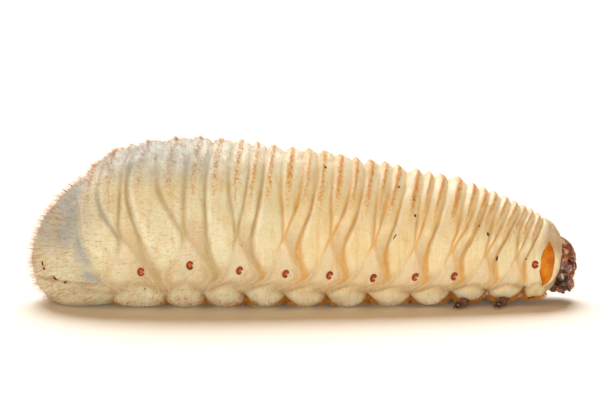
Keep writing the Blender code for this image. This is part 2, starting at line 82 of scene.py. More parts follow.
# The two inner furrows at the back, as shares of the ring, and where each fold's crest stands in it
BACK_FOLDS = {
    "abdomen_8": (0.38, 0.82, 0.40),
    "abdomen_7": (0.38, 0.73, 0.32),
    "abdomen_6": (0.40, 0.73, 0.30),
    "abdomen_5": (0.36, 0.72, 0.32),
    "abdomen_4": (0.36, 0.72, 0.32),
    "abdomen_3": (0.38, 0.66, 0.38),
    "abdomen_2": (0.42, 0.68, 0.60),
    "abdomen_1": (0.45, 0.74, 0.58),
    "metathorax": (0.37, 0.69, 0.50),
    "mesothorax": (0.33, 0.66, 0.50),
}

# How blunt the crests of the back folds are: 0 is sharp and 1 a flat-topped cushion
CREST_BLUNTNESS = {"abdomen_8": 0.7, "abdomen_7": 0.7, "abdomen_6": 0.6, "abdomen_5": 0.4, "abdomen_4": 0.2}

# The envelope: station, half width, height of the back, height of the widest line, height of the belly
STATIONS = np.array([
    (-25.0, 6.6, 12.0, 4.3, 0.0),
    (-20.5, 6.9, 12.3, 5.3, 0.0),
    (-17.0, 7.1, 13.7, 5.9, 0.0),
    (-13.0, 7.4, 14.65, 6.2, 0.0),
    (-8.0, 7.5, 14.8, 6.3, 0.0),
    (-3.0, 7.3, 14.2, 6.1, 0.0),
    (2.0, 7.0, 13.7, 5.8, 0.0),
    (7.0, 6.6, 12.8, 5.4, 0.0),
    (12.0, 6.0, 11.8, 4.9, 0.2),
    (15.4, 5.5, 10.9, 4.5, 0.55),
    (18.6, 4.9, 9.6, 4.2, 0.7),
    (21.4, 4.35, 8.15, 4.0, 0.95),
    (24.5, 3.6, 5.9, 3.8, 1.2),
])
TAIL_ROUNDING = 8.0
UNDER_TAIL_ROUNDING = 3.6
TAIL_TIP_HEIGHT = 4.3
TAIL_TOP_CURVE = 1.62
TAIL_SIDE_CURVE = 2.2
BELLY_DIP = 0.25
LOWER_SQUARENESS = 0.76
FOLD_DEPTHS = (0.6, 0.66, 0.46, 0.36, 0.50, 1.1, 1.0)
PLEURAL_CREASE = 0.14
PLEURAL_SCALLOP = 6.0
REAR_CALM = 0.5
SIDE_CALM = 0.88
REAR_FOOT_CALM = 0.6
FOOT_SWELL = 0.2
RIM_ROUNDING = 0.35

# Breathing holes: place along the body, angle round it, half width, half height, lean to the front, and half
# the gap at the front, with all angles in degrees
SPIRACLES = {
    "abdomen_8": (-14.25, 106.0, 0.25, 0.33, 0, 14),
    "abdomen_7": (-9.9, 101.5, 0.25, 0.33, 0, 14),
    "abdomen_6": (-5.5, 105.0, 0.19, 0.33, 22, 14),
    "abdomen_5": (-1.4, 107.0, 0.19, 0.33, 22, 14),
    "abdomen_4": (2.5, 107.5, 0.19, 0.33, 22, 14),
    "abdomen_3": (6.4, 108.0, 0.19, 0.33, 22, 14),
    "abdomen_2": (10.15, 106.0, 0.19, 0.33, 22, 14),
    "abdomen_1": (13.65, 104.5, 0.19, 0.33, 22, 14),
    "prothorax": (20.95, 90.0, 0.25, 0.27, 0, 4),
}

# The dome of a breathing hole in five steps: height over the skin, and reach as a share of the ring's
DOME_HEIGHTS = (-0.30, -0.04, 0.02, 0.05, 0.06)
DOME_REACHES = (0.75, 0.72, 0.55, 0.3, 0.08)

# Round each breathing hole: a raised rim and a pit, each with its height, distance and spread
HOLE_RELIEF = ((0.10, 0.52, 0.16), (-0.10, 0.0, 0.38))

# The horny side plate: angles round the body, and its rear and front edge there as shares of the first ring
PLATE_LEVELS = (56.0, 69.0, 80.0, 96.0, 108.0, 117.0, 122.5)
PLATE_REAR = (0.50, 0.43, 0.385, 0.45, 0.54, 0.66, 0.75)
PLATE_FRONT = (0.55, 0.76, 0.83, 0.86, 0.86, 0.835, 0.79)

HEAD_CENTRE = np.array((22.95, 0.0, 3.9))
HEAD_RADII = np.array((2.1, 2.35, 2.1))
CLYPEUS = ((24.35, 0.0, 2.75), (0.6, 1.3, 0.7))
LABRUM = ((24.5, 0.0, 1.6), (0.42, 1.0, 0.55))
LABIUM = ((23.0, 0.0, 1.35), (0.5, 0.6, 0.6))

# Rows of the skin's grid, and its columns round the body
ROWS_IN_RING = 36
ROWS_IN_TAIL = 48
ROWS_IN_NECK = 14
COLUMNS = 200

# The soft neck: middle of its last row, station, half width and half height of its mouth, and forward bow
NECK_MIDDLE = np.array((22.4, 0.0, 3.85))
NECK_MOUTH = (22.9, 2.05, 1.8)
NECK_BOW = 0.35

# Soft lumps and wrinkles of the skin: height, size, squeeze along the three axes, and a shift of the pattern
LUMPS = (
    (0.10, 1.9, (1.0, 1.0, 1.0), 0),
    (0.06, 0.8, (1.0, 1.0, 1.0), 9),
    (0.02, 0.35, (1.0, 1.0, 1.0), 0),
    (0.05, 0.42, (1.0, 0.22, 0.22), 0),
)
SLIT_DEPTH = 0.22


# Curves and noise

def smooth(value, knots, heights, level_ends=False):
    """A curve through the knots: cubic pieces on the slopes of the neighbouring knots, level at both ends if
    asked."""
    knots, heights = np.asarray(knots, float), np.asarray(heights, float)
    slopes = np.gradient(heights, knots)
    if level_ends:
        slopes[[0, -1]] = 0.0
    value = np.clip(value, knots[0], knots[-1])
    cell = np.clip(np.searchsorted(knots, value, side="right") - 1, 0, len(knots) - 2)
    width = knots[cell + 1] - knots[cell]
    s = (value - knots[cell]) / width
    rise = heights[cell] * (1 + 2 * s) * (1 - s) ** 2 + heights[cell + 1] * s * s * (3 - 2 * s)
    return rise + width * (slopes[cell] * s * (1 - s) ** 2 - slopes[cell + 1] * s * s * (1 - s))


def ease(low, high, value):
    """0 below low, 1 above high, and a smooth step between."""
    s = np.clip((value - low) / (high - low), 0.0, 1.0)
    return s * s * (3 - 2 * s)


def bell(value, middle, spread):
    """A bump of height 1 at the middle: e to the power of minus the squared distance in spreads."""
    return np.exp(-(((value - middle) / spread) ** 2))


LATTICE = np.random.default_rng(7).random((32, 32, 32))


def noise(points, size):
    """Soft noise from -1 to 1 with blobs of about this size: random values on a lattice, eased between."""
    grid = points / size
    low = np.floor(grid).astype(int)
    f = grid - low
    f = f * f * (3 - 2 * f)
    total = 0.0
    for dx in (0, 1):
        for dy in (0, 1):
            for dz in (0, 1):
                weight = (np.where(dx, f[..., 0], 1 - f[..., 0]) * np.where(dy, f[..., 1], 1 - f[..., 1])
                          * np.where(dz, f[..., 2], 1 - f[..., 2]))
                total = total + weight * LATTICE[(low[..., 0] + dx) % 32, (low[..., 1] + dy) % 32,
                                                 (low[..., 2] + dz) % 32]
    return total * 2 - 1


def unit(vectors):
    """The same directions at length 1."""
    vectors = np.asarray(vectors, float)
    return vectors / np.maximum(np.linalg.norm(vectors, axis=-1, keepdims=True), 1e-9)


# Meshes from arrays

def make_piece(name, points, faces, finish, fields=None, uv=None):
    """An object on the root body from points in mm and faces of equal corner numbers, shaded smooth."""
    points = np.asarray(points, float).reshape(-1, 3)
    faces = np.asarray(faces, np.int32)
    mesh = bpy.data.meshes.new(name)
    mesh.vertices.add(len(points))
    mesh.vertices.foreach_set("co", (points * MM).astype(np.float32).ravel())
    mesh.loops.add(faces.size)
    mesh.loops.foreach_set("vertex_index", faces.ravel())
    mesh.polygons.add(len(faces))
    mesh.polygons.foreach_set("loop_start", np.arange(0, faces.size, faces.shape[1], dtype=np.int32))
    mesh.update(calc_edges=True)
    for field, values in (fields or {}).items():
        layer = mesh.attributes.new(field, "FLOAT", "POINT")
        layer.data.foreach_set("value", np.asarray(values, np.float32).ravel())
    if uv is not None:
        layer = mesh.uv_layers.new(name="OFBake")
        layer.data.foreach_set("uv", np.asarray(uv, np.float32)[faces.ravel()].ravel())
    mesh.shade_smooth()
    mesh.validate()
    piece = bpy.data.objects.new(name, mesh)
    bpy.context.collection.objects.link(piece)
    piece.data.materials.append(finish)
    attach(piece, "root")
    return piece


def wrapped_faces(rows, columns):
    """Triangles of a grid whose rows are closed loops, all facing out of a tube along the rows."""
    r, c = np.meshgrid(np.arange(rows - 1), np.arange(columns), indexing="ij")
    a = r * columns + c
    b = r * columns + (c + 1) % columns
    quads = np.stack([a, b, b + columns, a + columns], axis=-1).reshape(-1, 4)
    return np.concatenate([quads[:, [0, 1, 2]], quads[:, [0, 2, 3]]])


def closed_tube(rings):
    """Points and triangles of a tube of rings (rows, columns, 3), with a fan to the middle at each end."""
    rows, columns = rings.shape[:2]
    points = np.concatenate([rings.reshape(-1, 3), rings[0].mean(0)[None], rings[-1].mean(0)[None]])
    c = np.arange(columns)
    following = (c + 1) % columns
    first, last = rows * columns, rows * columns + 1
    low_fan = np.stack([following, c, np.full(columns, first)], axis=1)
    top = (rows - 1) * columns
    high_fan = np.stack([top + c, top + following, np.full(columns, last)], axis=1)
    return points, np.concatenate([wrapped_faces(rows, columns), low_fan, high_fan])


def outward(points, faces):
    """The same faces, turned over if the volume that they close comes out negative."""
    a, b, c = (points[faces[:, k]] - points.mean(0) for k in range(3))
    volume = np.einsum("ij,ij->i", a, np.cross(b, c)).sum()
    return faces[:, ::-1] if volume < 0 else faces


def joined(parts):
    """One list of points and one of faces from several pairs."""
    points, faces, base = [], [], 0
    for p, f in parts:
        points.append(p)
        faces.append(outward(p, f) + base)
        base += len(p)
    return np.concatenate(points), np.concatenate(faces)


def path_frames(path):
    """Two directions across a path at each of its points, turned as little as can be along it."""
    path = np.asarray(path, float)
    tangent = unit(np.gradient(path, axis=0))
    across = np.zeros_like(path)
    guide = np.array((0.0, 0.0, 1.0)) if abs(tangent[0][2]) < 0.9 else np.array((1.0, 0.0, 0.0))
    for n, t in enumerate(tangent):
        guide = unit(guide - t * guide.dot(t))
        across[n] = guide
    return across, np.cross(tangent, across)


def tube(path, width, height=None, columns=24):
    """A tube along a path, an ellipse of this half width and half height at each point of it."""
    path = np.asarray(path, float)
    width = np.asarray(width, float)[:, None, None]
    height = width if height is None else np.asarray(height, float)[:, None, None]
    across, up = path_frames(path)
    turn = np.linspace(0, 2 * math.pi, columns, endpoint=False)[None, :, None]
    rings = path[:, None] + across[:, None] * width * np.cos(turn) + up[:, None] * height * np.sin(turn)
    return closed_tube(rings)


def fine_path(points, radii, count):
    """A path and its radii drawn again with this many points, on a smooth curve through the given ones."""
    points = np.asarray(points, float)
    steps = np.concatenate([[0], np.cumsum(np.linalg.norm(np.diff(points, axis=0), axis=1))])
    s = np.linspace(0, steps[-1], count)
    path = np.stack([smooth(s, steps, points[:, k]) for k in range(3)], axis=1)
    return path, smooth(s, steps, radii)


# The skin as a surface

def puff(share, crest, sharpness, steepness=6.0):
    """Height over one fold: a flat-topped cushion, or with sharpness 1 two slopes that meet at the crest."""
    v = np.where(share < crest, share / crest, (1 - share) / (1 - crest))
    v = np.clip(v, 0.0, 1.0)
    return sharpness * v ** 0.85 + (1 - sharpness) * (1 - (1 - v) ** steepness)


def furrows(angle, ring):
    """The two inner furrows of a ring, as shares of its length. They run down the back, close to a pinch
    above the breathing hole, and open again below it into the triangle that holds it."""
    first, second, _ = BACK_FOLDS[ring]
    levels = (0.0, SHOULDER, PINCH, 85.0, 91.0, 99.0, 106.0, PLEURA, BELLY)
    return (
        smooth(angle, levels, (first, first + 0.09, 0.62, 0.65, 0.58, 0.36, 0.15, 0.07, 0.33), True),
        smooth(angle, levels, (second, second, 0.69, 0.70, 0.78, 0.86, 0.90, 0.88, 0.67), True),
    )


def fold_share(share, angle, ring):
    """0 at the bottom of the furrows and 1 on the crests of a ring. Two inner furrows part a ring into three
    folds, each a puff from the floors of its furrows up to its own peak. Below the crease they give way to
    one lobe, a sine over the ring's length to a low power. The first and last ring are one cushion each."""
    if ring == "anal_segment":
        return puff(0.5 + share / 2, 0.5, 0.0) ** 0.5 + 0 * angle
    if ring == "prothorax":
        rim = 1 - RIM_ROUNDING * ease(0.75, 1.0, share)
        return puff(np.minimum(share, 0.4), 0.4, 0.0) ** 0.6 * rim + 0 * angle
    flank = ease(58.0, PINCH, angle)
    field = ease(84.0, 98.0, angle)
    lobe_end = ease(96.0, 110.0, angle)
    below = ease(-7.0, 5.0, angle - crease_angle(share))
    first, second = furrows(angle, ring)
    crest = BACK_FOLDS[ring][2]
    crest = crest + (0.5 - crest) * flank
    sharpness = (1 - flank) * (1 - CREST_BLUNTNESS.get(ring, 0.0))
    ends = 0.65 * ease(94.0, 110.0, angle)
    inner = 0.22 + 0.18 * flank
    edges = (0.0 * first, first, second, 0.0 * first + 1)
    steepness = 6 - 3.5 * field
    floors = (ends, inner + 0.14 * field, inner + 0.24 * field, ends)
    peaks = (1.0 - 0.40 * lobe_end, 1.0 - 0.58 * ease(66.0, PINCH, angle) + 0.18 * field, 1.0 - 0.42 * flank)
    height = np.zeros(np.broadcast(share, angle).shape)
    for n in range(3):
        low, high = edges[n], edges[n + 1]
        inside = (share >= low) & (share <= high)
        u = np.clip((share - low) / (high - low), 0, 1)
        base = floors[n] * (1 - u) + floors[n + 1] * u
        height = np.where(inside, base + (peaks[n] - base) * puff(u, crest, sharpness, steepness), height)
    foot = np.sin(share * math.pi) ** 0.45
    return height * (1 - below) + foot * below


def crease_angle(share):
    """The crease over the foot lobes, in scallops: higher over the middle of a lobe than between two."""
    return PLEURA + PLEURAL_SCALLOP * np.cos(2 * math.pi * share)


def ring_edge(angle, edges):
    """Where a ring begins at this angle round the body: a smooth curve through its five places."""
    top, shoulder, side, under, foot = edges
    levels = (0.0, SHOULDER, SIDE, UNDER_SIDE, PLEURA - 3.0, FOOT, BELLY)
    return smooth(angle, levels, (top, shoulder, side, under, foot, foot, foot), True)


def closing_curve(x, rounding, curve):
    """1 along the body, and down to 0 at the tail's end on a rounded corner this long: the share of the
    corner and the height, each raised to the curve's power, add up to 1."""
    tail = np.clip((TAIL_X + rounding - x) / rounding, 0.0, 1.0)
    return np.maximum(1 - tail ** curve, 0.0) ** (1 / curve)


def skin(x, angle, share, ring):
    """Points on the skin. Across the body it is a rounded section: the half width times the sine of the
    angle, and the height over the widest line times its cosine, squarer below. The depth of the folds is
    drawn in along the angle, and the result is cut off flat at the floor."""
    station = STATIONS[:, 0]
    half_width, back, widest, belly = (smooth(x, station, STATIONS[:, k]) for k in (1, 2, 3, 4))
    closing = closing_curve(x, TAIL_ROUNDING, TAIL_TOP_CURVE)
    closing_side = closing_curve(x, TAIL_ROUNDING, TAIL_SIDE_CURVE)
    closing_under = closing_curve(x, UNDER_TAIL_ROUNDING, TAIL_SIDE_CURVE)
    round_angle = np.radians(angle)
    cosine, sine = np.cos(round_angle), np.sin(round_angle)
    rise = np.where(cosine > 0, (back - widest) * closing, (widest - belly + BELLY_DIP) * closing_under)
    depth = smooth(angle, (0.0, SHOULDER, SIDE, UNDER_SIDE, PLEURA + 4.0, FOOT, BELLY), FOLD_DEPTHS, True)
    depth = depth * (1 - REAR_CALM * ease(2.0, -11.0, x) * ease(112.0, 92.0, angle))
    depth = depth * (1 - REAR_FOOT_CALM * ease(-5.5, -10.0, x) * ease(112.0, 128.0, angle))
    depth = depth * (1 - SIDE_CALM * bell(angle, 116.0, 12.0))
    folds = fold_share(share, angle, ring)
    crease = PLEURAL_CREASE * bell(angle, crease_angle(share), 8.0)
    swell = FOOT_SWELL * bell(angle, FOOT, 13.0) * folds
    relief = (swell - crease - depth * (1 - folds)) * np.minimum(closing, closing_under)
    squareness = np.where(cosine < 0, LOWER_SQUARENESS, 1.0)
    y = half_width * closing_side * sine ** squareness + relief * sine
    z = widest + rise * np.sign(cosine) * np.abs(cosine) ** squareness + relief * cosine
    ground = np.maximum(belly, 0.0) + (TAIL_TIP_HEIGHT - belly) * (1 - closing_under)
    return np.stack(np.broadcast_arrays(x, y, np.maximum(z, ground)), axis=-1)


def ring_lines(ring):
    """The two edges between which a ring lies."""
    lines = [None] + list(RING_EDGES.values()) + [FRONT_RIM]
    n = RINGS.index(ring)
    return lines[n], lines[n + 1]


def ring_patch(ring, share, angle):
    """Points of a ring, for arrays of shares and angles: its two edges, and the station between them in
    proportion to the share. The tail's ring runs from the tail's end, closer together there."""
    back_line, front_line = ring_lines(ring)
    front = ring_edge(angle, front_line)
    if back_line is None:
        back, along = TAIL_X + 0 * angle, 1 - np.cos(share * math.pi / 2)
    else:
        back, along = ring_edge(angle, back_line), share
    return skin(back + (front - back) * along, angle, share, ring)


def spiracle_places():
    """Centre, outward direction and ring of each breathing hole on both sides."""
    found = []
    for ring, (x, angle, *_) in SPIRACLES.items():
        back_line, front_line = ring_lines(ring)
        a = np.array([angle])
        low, high = ring_edge(a, back_line), ring_edge(a, front_line)
        centre = skin(np.array([x]), a, (x - low) / (high - low), ring)[0]
        out = np.array((0.0, math.sin(math.radians(angle)), math.cos(math.radians(angle))))
        for side in (1, -1):
            mirror = np.array((1, side, 1))
            found.append((centre * mirror, out * mirror, ring))
    return found


class BodyGrid:
    """The whole skin as a grid of rows from tail to head and columns round the body, with its fields: furrow
    (deep lines, and painted shade in the notches between the foot lobes), field (the pale triangles round
    the breathing holes), gut (where the dark gut shows through), crest (the edges of the back folds), a pale
    tint (the pale middle of the triangles, painted highlights as pale streaks in front of each furrow, and
    painted light that makes the back and the foot lobes lighter), and the rows' ring numbers and shares."""

    def __init__(self):
        turn = np.arange(COLUMNS) * 360.0 / COLUMNS
        self.angle = np.where(turn <= 180, turn, 360 - turn)[None, :]
        side = np.where(turn <= 180, 1.0, -1.0)[None, :]
        points, fields, keys = [], [], []
        for n, ring in enumerate(RINGS):
            if n:
                share = np.linspace(0, 1, ROWS_IN_RING + 1)[:-1, None]
            else:
                share = np.linspace(0, 1, ROWS_IN_TAIL + 2)[1:-1, None]
            place = ring_patch(ring, share, self.angle)
            points.append(place)
            fields.append(self.ring_fields(ring, share, place))
            keys.append(np.concatenate([np.full_like(share, n), share], axis=1))
        end = np.array([[1.0]])
        rim = ring_patch("prothorax", end, self.angle)
        neck, neck_fields = self.neck(rim[0], self.ring_fields("prothorax", end, rim))
        self.points = np.concatenate(points + [neck])
        self.points[..., 1] *= side
        self.fields = np.concatenate(fields + [neck_fields])
        self.keys = np.concatenate(keys + [np.tile([[len(RINGS) - 1, 1.0]], (len(neck), 1))])
        self.relief()
        self.normals = self.outward_normals()

    def ring_fields(self, ring, share, place):
        """Furrow, field, gut, crest, and the pale tint with its painted highlights and painted light, over
        one ring, stacked on the last axis.
        """
        angle, x, z = self.angle, place[..., 0], place[..., 2]
        edge = {"anal_segment": 1 - share, "prothorax": share}.get(ring, np.minimum(share, 1 - share))
        furrow = bell(edge, 0.0, 0.035) * ease(98.0, 88.0, angle)
        band = bell(edge, 0.0, 0.075) * ease(82.0, 92.0, angle) * ease(120.0, 110.0, angle)
        furrow = np.maximum(furrow, 0.85 * band)
        field = crest = glow = np.zeros_like(x)
        if ring in BACK_FOLDS:
            furrow, field, crest, glow = self.fold_fields(ring, share, x, furrow)
        # Painted shade: darker orange-brown in the notches between the foot lobes, faint on the first ring.
        notch_shade = 0.2 if ring == "prothorax" else 0.8
        furrow = np.maximum(furrow, notch_shade * bell(edge, 0.0, 0.10) * ease(128.0, 140.0, angle))
        crease = crease_angle(share)
        field = np.maximum(field, 0.55 * bell(angle, crease - 5.0, 5.0))
        furrow = np.maximum(furrow, 0.12 * bell(angle, crease, 4.0))
        if ring == "anal_segment":
            furrow = np.maximum(0.2 * furrow, 0.7 * self.slit(x, z))
        if ring == "abdomen_8":
            furrow = furrow * ease(0.0, 0.2, share)
        gut = self.gut_field(ring, share, x, z)
        return np.stack(np.broadcast_arrays(furrow, field, gut, crest, glow), axis=-1)

    def fold_fields(self, ring, share, x, furrow):
        """Furrow, field, crest and the pale tint of a ring with back folds, added to the furrows at its
        edges: lines along the two inner furrows, a pale triangle between them below the pinch with a darker
        rim, darker skin on both sides of it, and on each fold a crest, an edging and a painted highlight as
        a pale streak behind it. The pale tint also carries painted light that makes the back and the foot
        lobes lighter."""
        angle = self.angle
        above = 1 - ease(-4.0, 4.0, angle - crease_angle(share))
        first, second = furrows(angle, ring)
        front_band = bell(1 - share, 0.0, 0.17) * ease(84.0, 96.0, angle) * ease(122.0, 110.0, angle)
        furrow = np.maximum(furrow, 0.6 * front_band)
        soft = ease(-2.0, -8.0, x)
        line = 0.03 + 0.015 * soft
        rear_line = bell(share, first, line) * (1 - 0.85 * ease(84.0, 96.0, angle))
        front_line = bell(share, second, line) * (1 - 0.85 * ease(82.0, 92.0, angle))
        furrow = np.maximum(furrow, np.maximum(rear_line, front_line) * above) * (1 - 0.1 * soft)
        behind = ease(-0.05, 0.02, first - share) * ease(98.0, 108.0, angle)
        before = ease(-0.05, 0.02, share - second) * ease(68.0, 90.0, angle)
        boss = np.abs(share - 0.5 * (first + second)) / (0.03 + 0.29 * ease(80.0, 108.0, angle))
        boss = np.maximum(boss, (angle - 106.0) / 12.0)
        between = ease(0.0, 0.06, share - first) * ease(0.0, 0.06, second - share) * ease(82.0, 90.0, angle)
        triangle = between * (0.35 + 0.65 * ease(0.55, 1.05, boss))
        field = np.maximum(np.maximum(behind, before), triangle) * above
        glow = 0.3 * between * ease(0.95, 0.45, boss) * above
        crest = np.zeros_like(x)
        crest_share = BACK_FOLDS[ring][2]
        # Painted highlights: a pale streak on each fold just ahead of its rear furrow, over the back and
        # upper flank.
        highlight_streak_reach = ease(22.0, 40.0, angle) * ease(92.0, 72.0, angle)
        edging_reach = ease(-8.0, 4.0, x) * ease(62.0, 40.0, angle)
        for low, high, pale in ((0 * first, first, 1.0), (first, second, 0.6), (second, 0 * first + 1, 0.4)):
            u = (share - low) / (high - low)
            crest = np.maximum(crest, bell(u, crest_share + 0.07, 0.13))
            glow = np.maximum(glow, pale * bell(u, 0.17, 0.07) * highlight_streak_reach)
            furrow = np.maximum(furrow, bell(u, crest_share + 0.04, 0.10) * edging_reach)
        crest = crest * (1 - ease(50.0, 72.0, angle))
        furrow = furrow * (1 - 0.35 * ease(62.0, 36.0, angle))
        # Painted light: lighter foot lobes, which face down, and a back that is lighter towards its top,
        # less so towards the head, to even out its shading.
        foot = ease(124.0, 134.0, angle) * ease(164.0, 150.0, angle)
        foot = foot * ease(0.06, 0.22, np.minimum(share, 1 - share))
        top = 0.85 * ease(58.0, 20.0, angle) * (1 - 0.45 * ease(-6.0, 4.0, x))
        return furrow, field, crest, np.maximum(glow, np.maximum(0.4 * foot, top))

    def gut_field(self, ring, share, x, z):
        """Where the dark gut shows: over the tail, along the tail ring's edge, and over the rear back."""
        angle = self.angle
        gut = np.zeros_like(x)
        if ring == "anal_segment":
            gut = 0.14 + 0.68 * ease(-16.0, -21.0, x) * ease(4.8, 7.2, z)
            along_edge = np.maximum(bell(angle, 84.0, 15.0), bell(angle, 107.0, 7.0))
            gut = np.maximum(gut, 1.2 * bell(share, 1.0, 0.12) * along_edge)
        if ring == "abdomen_8":
            first, _ = furrows(angle, ring)
            along_edge = np.maximum(bell(angle, 90.0, 15.0), bell(angle, 108.0, 6.0))
            gut = 0.85 * bell(share, 0.0, 0.10) * along_edge
            gut = np.maximum(gut, 0.35 * bell(share, 0.0, 0.3) * ease(100.0, 60.0, angle))
            gut = np.maximum(gut, 0.45 * bell(share, first, 0.06) * bell(angle, 60.0, 22.0))
        if ring in ("abdomen_8", "abdomen_7", "abdomen_6", "abdomen_5"):
            gut = np.maximum(gut, 0.6 * ease(10.8, 13.6, z) * ease(-4.0, -11.5, x))
        return gut

    def slit(self, x, z):
        """The slit under the tail: a level groove on each side, from behind up to the first ring edge."""
        return bell(z, 2.55 - 0.05 * (x + 21), 0.16) * ease(-24.3, -23.0, x) * ease(-16.6, -18.5, x)

    def collar(self):
        """Where the first ring is thin-skinned and dusky: over its back and along its front rim."""
        ring, share = self.keys[:, :1], self.keys[:, 1:]
        over = ease(82.0, 58.0, self.angle) * ease(0.15, 0.5, share)
        return (ring == len(RINGS) - 1) * np.maximum(over, 0.7 * ease(0.93, 1.0, share))

    def neck(self, rim, rim_fields):
        """The soft collar from the rim of the first ring into the head: rows in an eased step from the rim
        to an ellipse inside the head, bowed forward by half a sine, and a last row drawn in to its
        middle."""
        steps = np.linspace(0, 1, ROWS_IN_NECK + 1)[1:, None, None]
        turn = np.radians(self.angle[0])
        front, half_width, half_height = NECK_MOUTH
        mouth = np.stack([np.full(COLUMNS, front), half_width * np.sin(turn),
                          NECK_MIDDLE[2] + half_height * np.cos(turn)], axis=1)
        bow = np.sin(steps * math.pi) * NECK_BOW * np.array((1.0, 0.0, 0.0))
        rows = rim[None] + (mouth[None] - rim[None]) * ease(0.0, 1.0, steps) ** 0.8 + bow
        rows[-1] = NECK_MIDDLE + (mouth - NECK_MIDDLE) * 0.6
        fields = np.repeat(rim_fields, len(rows), axis=0) * np.array((0.3, 0.6, 0.0, 0.0, 0.0))
        return rows, fields

    def relief(self):
        """Moves the points along their outward directions by the sum of the lumps and wrinkles, less the
        slit, and fading to nothing at the floor. Round each breathing hole it adds a rim and takes away a
        pit."""
        out = self.outward_normals()
        lumps = sum(height * noise(self.points * np.array(squeeze) + shift, size)
                    for height, size, squeeze, shift in LUMPS)
        quiet = ease(0.0, 0.6, self.points[..., 2])
        lumps = lumps - SLIT_DEPTH * self.slit(self.points[..., 0], self.points[..., 2])
        self.points = self.points + out * (lumps * quiet)[..., None]
        for centre, direction, _ in spiracle_places():
            distance = np.linalg.norm(self.points - centre, axis=-1)
            dent = sum(height * bell(distance, middle, spread) for height, middle, spread in HOLE_RELIEF)
            self.points = self.points + direction * dent[..., None]
        self.points[..., 2] = np.maximum(self.points[..., 2], 0.0)

    def outward_normals(self):
        """Unit directions out of the skin, from the slopes of the grid along its rows and columns."""
        along = np.gradient(self.points, axis=0)
        around = (np.roll(self.points, -1, axis=1) - np.roll(self.points, 1, axis=1)) / 2
        return unit(np.cross(along, around))

    def sample(self, values, row, column):
        """Values of the grid between its points, for arrays of row and column numbers with fractions."""
        r = np.clip(row, 0, values.shape[0] - 1.001)
        r0 = r.astype(int)
        c0 = np.floor(column).astype(int) % COLUMNS
        c1 = (c0 + 1) % COLUMNS
        fr, fc = (r - r0)[:, None], (column - np.floor(column))[:, None]
        low = values[r0, c0] * (1 - fc) + values[r0, c1] * fc
        high = values[r0 + 1, c0] * (1 - fc) + values[r0 + 1, c1] * fc
        return low * (1 - fr) + high * fr


@functools.cache
def body_grid():
    """The skin's grid, made once and kept for the skin and its bristles."""
    return BodyGrid()


# Materials

def new_finish(name, roughness, **sockets):
    """A Principled material with constants on its own sockets. Gives the material, tree and shader."""
    finish = bpy.data.materials.new(name)
    finish.use_nodes = True
    tree = finish.node_tree
    shader = tree.nodes["Principled BSDF"]
    shader.inputs["Roughness"].default_value = roughness
    for socket, value in sockets.items():
        shader.inputs[socket.replace("_", " ")].default_value = value
    return finish, tree, shader


def object_noise(tree, scale, detail=3.0, roughness=0.55, squeeze=(1.0, 1.0, 1.0)):
    """Noise on Object coordinates, with this many blobs to a metre, drawn out along an axis whose squeeze is
    below 1. Gives its factor socket."""
    place = tree.nodes.new("ShaderNodeTexCoord")
    mapping = tree.nodes.new("ShaderNodeMapping")
    mapping.inputs["Scale"].default_value = squeeze
    pattern = tree.nodes.new("ShaderNodeTexNoise")
    pattern.inputs["Scale"].default_value = scale
    pattern.inputs["Detail"].default_value = detail
    pattern.inputs["Roughness"].default_value = roughness
    tree.links.new(place.outputs["Object"], mapping.inputs["Vector"])
    tree.links.new(mapping.outputs["Vector"], pattern.inputs["Vector"])
    return pattern.outputs["Fac"]


def attribute(tree, name):
    """A field of the mesh by its name, as a socket."""
    reader = tree.nodes.new("ShaderNodeAttribute")
    reader.attribute_name = name
    return reader.outputs["Fac"]


def remapped(tree, value, low, high, to_low=0.0, to_high=1.0):
    """The value with low to high spread over to_low to to_high, and cut off outside."""
    spread = tree.nodes.new("ShaderNodeMapRange")
    for socket, number in zip(("From Min", "From Max", "To Min", "To Max"), (low, high, to_low, to_high)):
        spread.inputs[socket].default_value = number
    tree.links.new(value, spread.inputs["Value"])
    return spread.outputs["Result"]


def times(tree, first, second):
    """The product of two values, each a socket or a number."""
    product = tree.nodes.new("ShaderNodeMath")
    product.operation = "MULTIPLY"
    for socket, value in zip(product.inputs, (first, second)):
        if isinstance(value, (int, float)):
            socket.default_value = value
        else:
            tree.links.new(value, socket)
    return product.outputs["Value"]


def mixed(tree, factor, first, second):
    """A mix of two colours, each a socket or an (r, g, b)."""
    mix = tree.nodes.new("ShaderNodeMix")
    mix.data_type = "RGBA"
    if isinstance(factor, (int, float)):
        mix.inputs["Factor"].default_value = factor
    else:
        tree.links.new(factor, mix.inputs["Factor"])
    for socket, colour in ((mix.inputs[6], first), (mix.inputs[7], second)):
        if isinstance(colour, bpy.types.NodeSocket):
            tree.links.new(colour, socket)
        else:
            socket.default_value = (*colour[:3], 1.0)
    return mix.outputs[2]


def tinted(tree, field, amount, colour, tint):
    """The colour with a tint laid over it, as far as a field of the mesh times this amount says."""
    return mixed(tree, times(tree, attribute(tree, field), amount), colour, tint)


def add_bump(tree, shader, height, distance, strength=1.0):
    """Bump from a height socket; distance is in metres."""
    bump = tree.nodes.new("ShaderNodeBump")
    bump.inputs["Distance"].default_value = distance
    bump.inputs["Strength"].default_value = strength
    tree.links.new(height, bump.inputs["Height"])
    tree.links.new(bump.outputs["Normal"], shader.inputs["Normal"])


# Colour of the small pale flecks of the skin, and the dark and light tone of the small horny finishes
FLECKS = (0.90, 0.86, 0.70)
TONES = {
    "bristle_rust": ((0.80, 0.24, 0.01), (0.92, 0.42, 0.05)),
    "bristle_foot": ((0.66, 0.22, 0.02), (0.80, 0.35, 0.05)),
    "spiracle_ring": ((0.24, 0.03, 0.008), (0.38, 0.06, 0.014)),
    "spiracle_dome": ((0.50, 0.11, 0.015), (0.62, 0.20, 0.04)),
    "speck": ((0.05, 0.010, 0.006), (0.14, 0.03, 0.015)),
}


